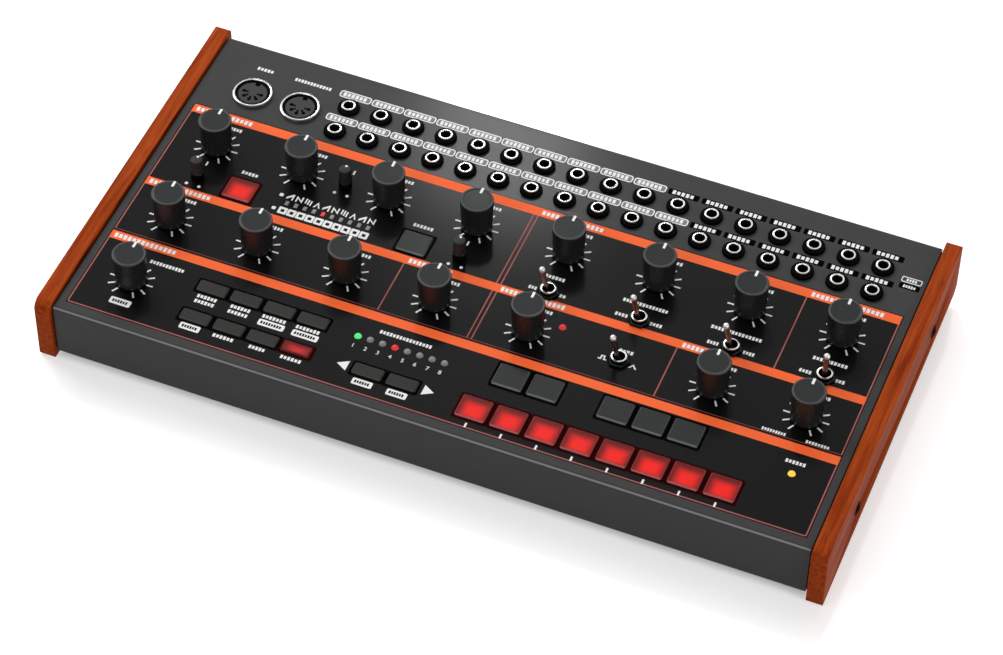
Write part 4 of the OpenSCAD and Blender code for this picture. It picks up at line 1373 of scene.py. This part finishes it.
@dataclass
class Knobs:
    """The large knobs: a fluted side, a rounded rim, a matt top and an inlaid pointer."""

    radius: float = 6.2
    top_radius: float = 6.6
    lift: float = 0.7
    rim: float = 0.4
    dish: float = 0.08
    wall: float = 1.2
    roof: float = 5.6
    flutes: int = 44
    flute_depth: float = 0.14
    pointer: Point = (1.0, 2.9)
    pointer_rise: float = 0.05
    segments: int = 176
    sharp: ClassVar[float] = 40.0

    def build(self) -> None:
        """Makes a piece for every knob."""
        for node in numbered("knob_back_") + numbered("knob_middle_") + numbered("knob_front_"):
            centre = node_centre(node)
            self.build_one(node, centre.x, centre.y, node_box(node)[1].z)

    def build_one(self, node: str, x: float, y: float, top: float) -> None:
        """Makes one knob.

        Args:
            node: The CAD node that it stands for.
            x: Its axis.
            y: Its axis.
            top: Height of its top.
        """
        shape = Solid()
        face = top - self.pointer_rise
        bottom = PANEL + self.lift
        inside = [(0, face - self.roof), (self.radius - self.wall, face - self.roof),
                  (self.radius - self.wall, bottom)]
        side = [(self.radius - 0.25, bottom), (self.radius, bottom + 0.3), (self.radius, bottom + 1.2),
                (self.radius, bottom + 1.5), (self.top_radius, face - 2 * self.rim)]
        rim = [(self.top_radius - self.rim * (1 - math.cos(a)), face - self.rim * (1 - math.sin(a)))
               for a in (0.0, 0.4, 0.8, 1.2, QUARTER_TURN)]
        edge, floor = self.top_radius - self.rim, face - self.dish
        crown = [(edge - 0.5, face), (edge - 0.8, floor), (edge - 1.0, floor), (0, floor)]
        shoulder = len(inside) + len(side)
        fluted = range(shoulder - 2, shoulder)
        faces = shape.lathe(inside + side + rim + crown, KNOB_SIDE, (x, y, 0), self.segments, self.flutes,
                            self.flute_depth, fluted)
        # The rim takes a lighter finish, a painted highlight.
        shape.paint([f for f in faces if f.calc_center_median().z > face - 0.6 * self.rim], KNOB_RIM)
        shape.paint(faces[(1 - len(crown)) * self.segments:], KNOB_TOP)
        width, length = self.pointer
        far = y + self.top_radius - 0.1
        inlay = rounded(x - width / 2, x + width / 2, far - length, far, 0.15)
        shape.slab(inlay, face - 0.4, top, POINTER)
        add_piece(shape.mesh(node + "_cap", self.sharp), node, [node])


@dataclass
class Trimmers:
    """The small trimmer knobs: tapered and fluted, on a black collar, with a dot on their face."""

    radius: float = 2.7
    top_radius: float = 2.45
    collar: float = 2.6
    dot: float = 0.5
    dot_rise: float = 0.05
    lift: float = 0.6
    shaft: float = 1.9
    flutes: int = 16
    flute_depth: float = 0.22
    segments: int = 96

    def build(self) -> None:
        """Makes a piece for every trimmer knob."""
        for node in numbered("trim_knob_"):
            low, high = node_box(node)
            x, y, _ = node_centre(node)
            bottom = PANEL + self.lift
            face = high.z - self.dot_rise
            waist = bottom + self.collar
            profile = [(0, low.z), (self.shaft, low.z), (self.shaft, bottom), (self.radius - 0.15, bottom),
                       (self.radius, bottom + 0.15), (self.radius, waist), (self.radius - 0.1, waist + 0.1),
                       (self.radius - 0.1, waist + 0.3), (self.top_radius, face - 0.5),
                       (self.top_radius - 0.15, face - 0.15), (self.top_radius - 0.4, face), (0, face)]
            shape = Solid()
            faces = shape.lathe(profile, TRIM, (x, y, 0), self.segments, self.flutes, self.flute_depth,
                                fluted=range(7, 9))
            for below, finish in ((face - 0.4, KNOB_SIDE), (waist + 0.1, SOCKET)):
                shape.paint([f for f in faces if f.calc_center_median().z < below], finish)
            spot = (x, y + self.top_radius - 2 * self.dot, 0)
            inlay = [(0, face - 0.3), (self.dot, face - 0.3), (self.dot, high.z), (0, high.z)]
            shape.lathe(inlay, POINTER, spot, segments=24)
            add_piece(shape.mesh(node + "_cap", Knobs.sharp), node, [node])


@dataclass
class Toggles:
    """The toggle levers, which keep their CAD shape, and the collars and hexagon nuts that they stand in."""

    collar: float = 3.17
    rise: float = 2.62
    bore: float = 2.4
    ring: float = 0.22
    edge: float = 0.09
    sleeve: float = 0.2
    tip: float = 1.9
    nut: float = 4.0
    nut_height: float = 1.4
    nut_chamfer: float = 0.4
    nut_steps: int = 48

    def build(self, case: SheetCase) -> None:
        """Dresses the levers and makes the collars.

        Args:
            case: The case, which knows how a CAD node is dressed.
        """
        places = []
        for node in numbered("toggle_lever_"):
            # The lever's top takes the white tip, a painted reflection.
            case.finish(node, CHROME, CHROME_TIP, node_box(node)[1].z - self.tip)
            places.append((*pivot(node), PANEL))
        collar, rise, edge, under = self.collar, self.rise, self.edge, self.rise - self.ring
        ring = turned([(self.bore, under), (collar, under), (collar, rise - edge),
                       (collar - 0.3 * edge, rise - 0.3 * edge), (collar - edge, rise),
                       (self.bore + edge, rise), (self.bore, rise - edge)], NICKEL)
        add_stamped("toggle_collars", ring, places)
        inner, top = collar - self.sleeve, under - 0.02
        sleeve = turned([(inner, 0), (collar, 0), (collar, top), (inner, top)], BLACKENED)
        add_stamped("toggle_sleeves", sleeve, places)
        add_stamped("toggle_nuts", self.hexagon_nut(), places)

    def hexagon_nut(self) -> Solid:
        """Makes a nut about the origin, with a chamfer round its upper face.

        Returns:
            The shape.
        """
        turns = [i * math.tau / self.nut_steps for i in range(self.nut_steps)]
        spread = [math.cos((turn + math.pi / 6) % (math.pi / 3) - math.pi / 6) for turn in turns]
        hole = self.collar + 0.05
        low, shoulder, high = 0.0, self.nut_height - self.nut_chamfer, self.nut_height
        levels = ((self.nut, low, True), (self.nut, shoulder, True),
                  (self.nut - self.nut_chamfer, high, True), (hole, high, False), (hole, low, False))
        nut = Solid()
        loops = []
        for reach, z, flat in levels:
            sizes = [reach / s if flat else reach for s in spread]
            loops.append([nut.bm.verts.new((size * math.sin(turn), size * math.cos(turn), z))
                          for size, turn in zip(sizes, turns)])
        for one, two in zip(loops, loops[1:] + loops[:1]):
            nut.paint(nut.bridge(one, two), DARK_NICKEL)
        return nut


class KeyKind(Enum):
    """The kinds of key: each has a slot, and a finish for its top, its bevels and its walls; on most kinds the
    bevels' finish is a painted highlight.
    """

    DARK = ("dark_key", DARK_KEY, KEY_EDGE, DARK_KEY)
    SMALL = ("dark_key", SMALL_KEY, SMALL_EDGE, SMALL_KEY)
    LIT = ("lit_key", LIT_KEY, LIT_EDGE, LIT_WALL)
    LIT_SMALL = ("lit_key", LIT_SMALL, LIT_WALL, LIT_WALL)


@dataclass
class Keys:
    """The push keys: bevelled caps, dark or lit, each on its flange and stem."""

    width: ClassVar[float] = 12.1
    depth: ClassVar[float] = 10.9
    small_depth: ClassVar[float] = 5.5
    small: ClassVar[str] = "key_small_"
    edge: float = 0.75
    flange: float = 0.65
    flange_height: float = 0.75
    foot_drop: float = 3.3
    stem: float = 1.5
    bevel_from: float = 0.2
    top_from: float = 0.98

    def build(self) -> None:
        """Makes a piece for every key."""
        lit = self.lit()
        for node in named("key_"):
            if node.startswith(self.small):
                kind = KeyKind.LIT_SMALL if node in lit else KeyKind.SMALL
            else:
                kind = KeyKind.LIT if node in lit else KeyKind.DARK
            self.build_one(node, kind)

    @staticmethod
    def lit() -> set[str]:
        """Gives the keys that are lit."""
        return {entry["node"] for entry in frame["record"]["subparts"] if entry["material_slot"] == "lit_key"}

    @classmethod
    def cap(cls, node: str) -> Point:
        """Gives a cap's width and depth."""
        return cls.width, cls.small_depth if node.startswith(cls.small) else cls.depth

    def build_one(self, node: str, kind: KeyKind) -> None:
        """Makes one key.

        Args:
            node: The CAD node that it stands for.
            kind: What kind of key it is.
        """
        slot, finish, bevel, wall = kind.value
        low, high = node_box(node)
        x, y, _ = node_centre(node)
        half_x, half_y = (size / 2 for size in self.cap(node))
        left, right, front, back = x - half_x, x + half_x, y - half_y, y + half_y
        foot = PANEL - self.foot_drop
        shape = Solid()
        shape.block((left, front, foot), (right, back, high.z), wall, self.edge / math.sqrt(2), 1)
        shape.bm.normal_update()
        # The bevels take their own finish, which on most kinds is lighter, as a painted highlight.
        for level, dress in ((self.bevel_from, bevel), (self.top_from, finish)):
            shape.paint([f for f in shape.bm.faces if f.normal.z > level], dress)
        shape.block((left - self.flange, front - self.flange, foot - 0.05),
                    (right + self.flange, back + self.flange, foot + self.flange_height), wall, 0.1, 1)
        shape.lathe([(0, low.z), (self.stem, low.z), (self.stem, foot), (0, foot)], wall, (x, y, 0))
        add_piece(shape.mesh(node + "_cap", cap=((left, front), (right, back))), node, [node])


@dataclass
class JackField:
    """The patch jacks: black bodies under the panel, bright bushes through it and black ring nuts on them."""

    bush: float = 2.9
    bush_foot: float = -1.3
    bore: float = 1.75
    mouth: float = 2.1
    rise: float = 2.2
    edge: float = 0.15
    body: Point = (4.5, 4.8)
    body_top: float = -7.1
    lining_floor: Point = (-7.0, -6.5)
    nut: float = 4.55
    nut_height: float = 1.4
    nut_flutes: int = 20
    nut_flute_depth: float = 0.16

    def build(self) -> None:
        """Makes the jacks."""
        places = [(*place.xy, PANEL) for place in mounts("jack_").values()]
        top, e, mouth, outer, foot = self.rise, self.edge, self.mouth, self.bush, self.bush_foot
        bush = turned([(mouth, foot), (outer, foot), (outer, top - e), (outer - 0.3 * e, top - 0.3 * e),
                       (outer - e, top), (mouth + 0.1, top), (mouth, top - 0.1)], NICKEL)
        add_stamped("jack_bushes", bush, places, ["jack_sockets"])
        half_x, half_y = self.body
        floor = node_box("jack_sockets")[0].z - PANEL
        body = Solid()
        body.block((-half_x, -half_y, floor), (half_x, half_y, self.body_top), SOCKET, 0.3, 2)
        add_stamped("jack_bodies", body, places)
        wall, (under, over) = mouth - 0.02, self.lining_floor
        lining = turned([(0, under), (wall, under), (wall, top - 0.25), (self.bore, top - 0.6),
                         (self.bore, over), (0, over)], SOCKET)
        add_stamped("jack_linings", lining, places)
        tall, hole, rim = self.nut_height, outer + 0.05, self.nut
        nut = turned([(hole, 0.0), (rim - 0.15, 0.0), (rim, 0.15), (rim, 0.3), (rim, tall - 0.45),
                      (rim - 0.15, tall - 0.2), (rim - 0.4, tall), (hole, tall)], BLACKENED, segments=80,
                     flutes=self.nut_flutes, flute_depth=self.nut_flute_depth, fluted=range(3, 5))
        add_stamped("jack_ring_nuts", nut, places)


@dataclass
class CableSockets:
    """The two round five-pin sockets on the panel, and the sockets in the rear wall."""

    ring: float = 8.1
    ring_bore: float = 7.1
    rise: float = 1.5
    shell: float = 6.95
    shell_wall: float = 0.45
    shell_rise: float = 0.5
    disc: float = 6.05
    disc_rise: float = 1.0
    pin_circle: float = 3.75
    pin: float = 0.8
    slit: float = 0.4
    slit_length: float = 1.9
    notch: Point = (1.0, 1.85)
    floor: float = 12.4
    shell_floor: float = 9.0
    segments: int = 96
    rear_depth: float = 11.0
    inlet_half: float = 4.5
    inlet_plate: float = 2.0
    barrel: Point = (3.2, 4.4)
    rocker_hole: Point = (5.2, 3.8)
    clearance: float = 0.05

    def build(self) -> None:
        """Makes the sockets."""
        places = [(*place.xy, PANEL) for place in mounts("round_socket_").values()]
        top, outer, bore = self.rise, self.ring, self.ring_bore
        ring = turned([(bore, 0), (outer, 0), (outer, top - 0.3), (outer - 0.1, top - 0.1),
                       (outer - 0.3, top), (bore + 0.15, top), (bore, top - 0.15)], NICKEL,
                      segments=self.segments)
        add_stamped("round_socket_rings", ring, places, ["cable_sockets"])
        shell, inner, lip = self.shell, self.shell - self.shell_wall, self.shell_rise
        well = turned([(0, -self.floor), (shell, -self.floor), (shell, lip), (inner, lip),
                       (inner, -self.shell_floor), (0, -self.shell_floor)], SOCKET, segments=self.segments)
        add_stamped("round_socket_wells", well, places)
        rim, face, foot = self.disc, self.disc_rise, self.clearance - self.shell_floor
        disc = turned([(0, foot), (rim, foot), (rim, face - 0.25), (rim - 0.25, face), (0, face)],
                      SOCKET_DISC, segments=self.segments)
        add_stamped("round_socket_discs", disc, places)
        add_stamped("round_socket_pin_holes", self.pin_holes(), places)
        self.build_rear()

    def pin_holes(self) -> Solid:
        """Makes the five holes, the slits by them and the notch as black inlays in the disc, which paint the shade
        inside them.

        Returns:
            The shape, about the origin.
        """
        face = self.disc_rise
        holes = Solid()
        for angle in range(0, 181, 45):
            a = math.radians(angle)
            out = Vector((math.cos(a), -math.sin(a), 0))
            holes.lathe([(0, -0.05), (self.pin, -0.05), (self.pin, 0.03), (0, 0.03)], BLACK_INK,
                        out * self.pin_circle + Vector((0, 0, face)), 20)
            side = Vector((-out.y, out.x, 0)) * self.slit
            near, far = out * (self.pin_circle - self.slit_length), out * (self.pin_circle - self.pin)
            corners = (near - side, far - side, far + side, near + side)
            holes.slab([corner.xy for corner in corners], face - 0.05, face + 0.02, BLACK_INK)
        half, depth = self.notch
        inner, outer = self.disc - depth, self.disc - 0.05
        corners = ((-half, inner), (half, inner), (half, outer), (-half, outer))
        holes.slab(corners, face - 0.3, face + 0.02, BLACK_INK)
        return holes

    def build_rear(self) -> None:
        """Makes the power inlet, the data socket and the rocker's frame."""
        inlet, data = mounts("power_inlet")["power_inlet"], mounts("data_socket")["data_socket"]
        face, depth = inlet.y, self.rear_depth
        back = face - depth
        half, plate = self.inlet_half, back + self.inlet_plate
        shape = Solid()
        shape.block((inlet.x - half, back, inlet.z - half), (inlet.x + half, plate, inlet.z + half),
                    SOCKET, 0.3)
        foot = plate + self.clearance
        bore, outer = self.barrel
        tube = Solid()
        tube.lathe([(bore, 0.0), (outer, 0.0), (outer, face - foot), (bore, face - foot)], SOCKET)
        tube.lathe([(0, 0.05), (1.0, 0.05), (1.0, depth - 3.5), (0.7, depth - 3.0), (0, depth - 3.0)], NICKEL)
        tube.bm.transform(self.facing_back(Vector((inlet.x, foot, inlet.z))))
        add_piece(shape.mesh("power_inlet_back"))
        add_piece(tube.mesh("power_inlet_barrel"))
        shell = Solid()
        self.frame_wall(shell, data, (6.0, 5.0), (4.3, 3.9), depth, NICKEL)
        floor, tongue = (5.9, 4.9, back, back + 1.4, 0.0), (2.8, 1.6, back + 1.5, face - 1.0, 0.2)
        for half_x, half_z, y0, y1, radius in (floor, tongue):
            shell.block((data.x - half_x, y0, data.z - half_z), (data.x + half_x, y1, data.z + half_z),
                        SOCKET, radius)
        add_piece(shell.mesh("data_socket_shell"))
        bezel = Solid()
        centre = Vector((node_centre("power_rocker").x, face, data.z))
        for sunk, outer, length in ((0.0, (7.5, 5.0), 0.55), (0.6, (6.7, 4.4), 9.0)):
            self.frame_wall(bezel, centre - Vector((0, sunk, 0)), outer, self.rocker_hole, length, SOCKET)
        add_piece(bezel.mesh("power_rocker_frame"))

    @staticmethod
    def facing_back(foot: Vector) -> Matrix:
        """Gives the move of an upright shape onto a foot, from which it points to the back."""
        return Matrix.Translation(foot) @ Matrix.Rotation(-QUARTER_TURN, 4, "X")

    def frame_wall(self, shape: Solid, front: Vector, outer: Point, inner: Point, depth: float,
                   finish: Finish) -> None:
        """Adds a square tube whose mouth faces the back.

        Args:
            shape: What it is added to.
            front: Middle of its mouth.
            outer: Half its outer width and height.
            inner: Half its inner width and height.
            depth: Its length.
            finish: What it is made of.
        """
        tube = Solid()
        edges = [rounded(-w, w, -h, h, 0.5) for w, h in (outer, inner)]
        tube.slab(edges[0], 0.0, depth, finish, edges[1])
        shape.join(tube, self.facing_back(front - Vector((0, depth, 0))))


@dataclass
class Lamps:
    """The small lamps: domes in rows and slim windows, most of them off."""

    row: ClassVar[Point] = (-39.3, -49.4)
    pitch: ClassVar[float] = 5.09
    slim_row: ClassVar[Point] = (-92.7, 3.4)
    slim_pitch: ClassVar[float] = 3.85
    radius: float = 1.5
    foot: float = -8.0
    sunk: float = 0.5
    single: Point = (30.9, -15.4)
    power: Point = (134.8, -49.8)
    slim_low: tuple[float, float, float] = (-0.75, -1.1, -6.0)
    slim_high: tuple[float, float, float] = (0.75, 1.1, 0.1)
    lit_in_row: tuple[int, int] = (0, 3)
    lit_slim: int = 4

    @classmethod
    def row_places(cls) -> list[Place]:
        """Lists the places of the eight lamps in a row."""
        return [(cls.row[0] + i * cls.pitch, cls.row[1], PANEL) for i in range(8)]

    @classmethod
    def slim_places(cls) -> list[Place]:
        """Lists the places of the ten slim lamps."""
        return [(cls.slim_row[0] + i * cls.slim_pitch, cls.slim_row[1], PANEL) for i in range(10)]

    def dome(self, finish: Finish) -> Solid:
        """Makes a lamp about the origin, with its foot under the panel.

        Args:
            finish: Its resin.

        Returns:
            The shape.
        """
        radius = self.radius
        angles = (i * math.pi / 16 for i in range(8))
        arc = [(radius * math.cos(a), radius * math.sin(a) - self.sunk) for a in angles]
        profile = [(0, self.foot), (radius, self.foot), *arc, (0, radius - self.sunk)]
        return turned(profile, finish, segments=32)

    def slim(self, finish: Finish) -> Solid:
        """Makes a slim lamp's window about the origin."""
        shape = Solid()
        shape.block(self.slim_low, self.slim_high, finish, 0.12, 2)
        return shape

    def build(self) -> None:
        """Makes the lamps."""
        row, slim = self.row_places(), self.slim_places()
        green, red = self.lit_in_row
        off = [place for i, place in enumerate(row) if i not in self.lit_in_row]
        lit = slim.pop(self.lit_slim)
        add_stamped("lamps_unlit", self.dome(LAMP_OFF), off, ["lamps"])
        for name, shape, places in (("lamp_green", self.dome(LAMP_GREEN), [row[green]]),
                                    ("lamps_red", self.dome(LAMP_RED), [row[red], (*self.single, PANEL)]),
                                    ("lamp_power", self.dome(LAMP_AMBER), [(*self.power, PANEL)]),
                                    ("slim_lamps_unlit", self.slim(LAMP_OFF), slim),
                                    ("slim_lamp_red", self.slim(LAMP_RED), [lit])):
            add_stamped(name, shape, places)


@dataclass
class Fixings:
    """The screws in the cheeks and the tray, and the rubber feet."""

    head: float = 3.15
    head_depth: float = 1.7
    rim_drop: float = 0.3
    dome: float = 1.15
    shank: float = 1.4
    shank_length: float = 9.0
    low_head: float = 2.7
    low_head_height: float = 1.6
    tray_x: tuple[float, ...] = (-120.0, 0.0, 120.0)
    tray_y: Point = (-74.8, 73.8)
    post_x: tuple[float, ...] = (-142.0, 2.5, 142.0)
    post_y: Point = (33.6, -34.43)
    foot_x: float = 126.0
    foot_y: float = 58.0
    foot: float = 6.5
    segments: int = 40

    def build(self) -> None:
        """Makes the screws and the feet."""
        self.build_cheek_screws()
        tray = node_box("bottom_tray")[0].z
        rows = ((self.tray_x, self.tray_y), (self.post_x, self.post_y))
        places = [(x, y, tray) for xs, ys in rows for x in xs for y in ys]
        low, tall = self.low_head, self.low_head_height
        head = turned([(0, 1.0), (self.shank, 1.0), (self.shank, 0), (low, 0), (low, -tall + 0.6),
                       (low - 0.25, -tall + 0.2), (low - 0.8, -tall), (1.2, -tall), (1.0, -tall + 0.7),
                       (0, -tall + 0.9)], BLACKENED, segments=self.segments)
        add_stamped("tray_screws", head, places)
        rest = self.foot
        feet = turned([(0, 0.3), (rest - 2.6, 0.3), (rest - 2.2, 0.0), (rest - 1.0, 0.0), (rest - 0.3, 0.3),
                       (rest, 1.0), (rest, tray - 0.4), (rest - 0.3, tray), (0, tray)], RUBBER, segments=64)
        spots = [(x, y, 0.0) for x in (-self.foot_x, self.foot_x) for y in (-self.foot_y, self.foot_y)]
        add_stamped("feet", feet, spots, ["rubber_feet"])

    def build_cheek_screws(self) -> None:
        """Makes the four raised countersunk screws in the cheeks."""
        edge = node_box("right_cheek")[1].x
        ball = (self.head ** 2 + self.dome ** 2) / (2 * self.dome)
        top = self.dome - self.rim_drop
        arc = [(r, top - ball + math.sqrt(ball * ball - r * r)) for r in (self.head, 2.8, 2.3, 1.8, 1.3)]
        profile = [(0, -self.shank_length), (self.shank, -self.shank_length),
                   (self.shank, -self.rim_drop - self.head_depth), *arc, (1.1, top - 0.2), (0.7, top - 1.0),
                   (0, top - 1.1)]
        whole = Solid()
        for side in (-1, 1):
            turn = Matrix.Rotation(side * QUARTER_TURN, 4, "Y")
            for reach in WoodCheeks.screw_rows:
                place = Matrix.Translation((side * edge, reach, WoodCheeks.screw_height))
                whole.join(turned(profile, BLACKENED, segments=self.segments), place @ turn)
        add_piece(whole.mesh("cheek_screws"), stands_for=["screws_and_nuts"])


class PowerRocker:
    """The power rocker, which keeps its CAD shape."""

    def build(self, case: SheetCase) -> None:
        """Dresses the rocker as the case dresses a CAD node."""
        case.finish("power_rocker", KNOB_SIDE)


def main() -> None:
    """Builds the set and every sub-assembly in order."""
    logging.basicConfig(level=logging.INFO, format="%(name)s: %(message)s")
    bpy.context.scene.view_settings.view_transform = "Standard"
    Studio().build()
    case = SheetCase()
    case.dress()
    WoodCheeks().build()
    PanelPrint().build()
    Knobs().build()
    Trimmers().build()
    Toggles().build(case)
    Keys().build()
    JackField().build()
    CableSockets().build()
    Lamps().build()
    Fixings().build()
    PowerRocker().build(case)


if __name__ == "__main__":
    main()
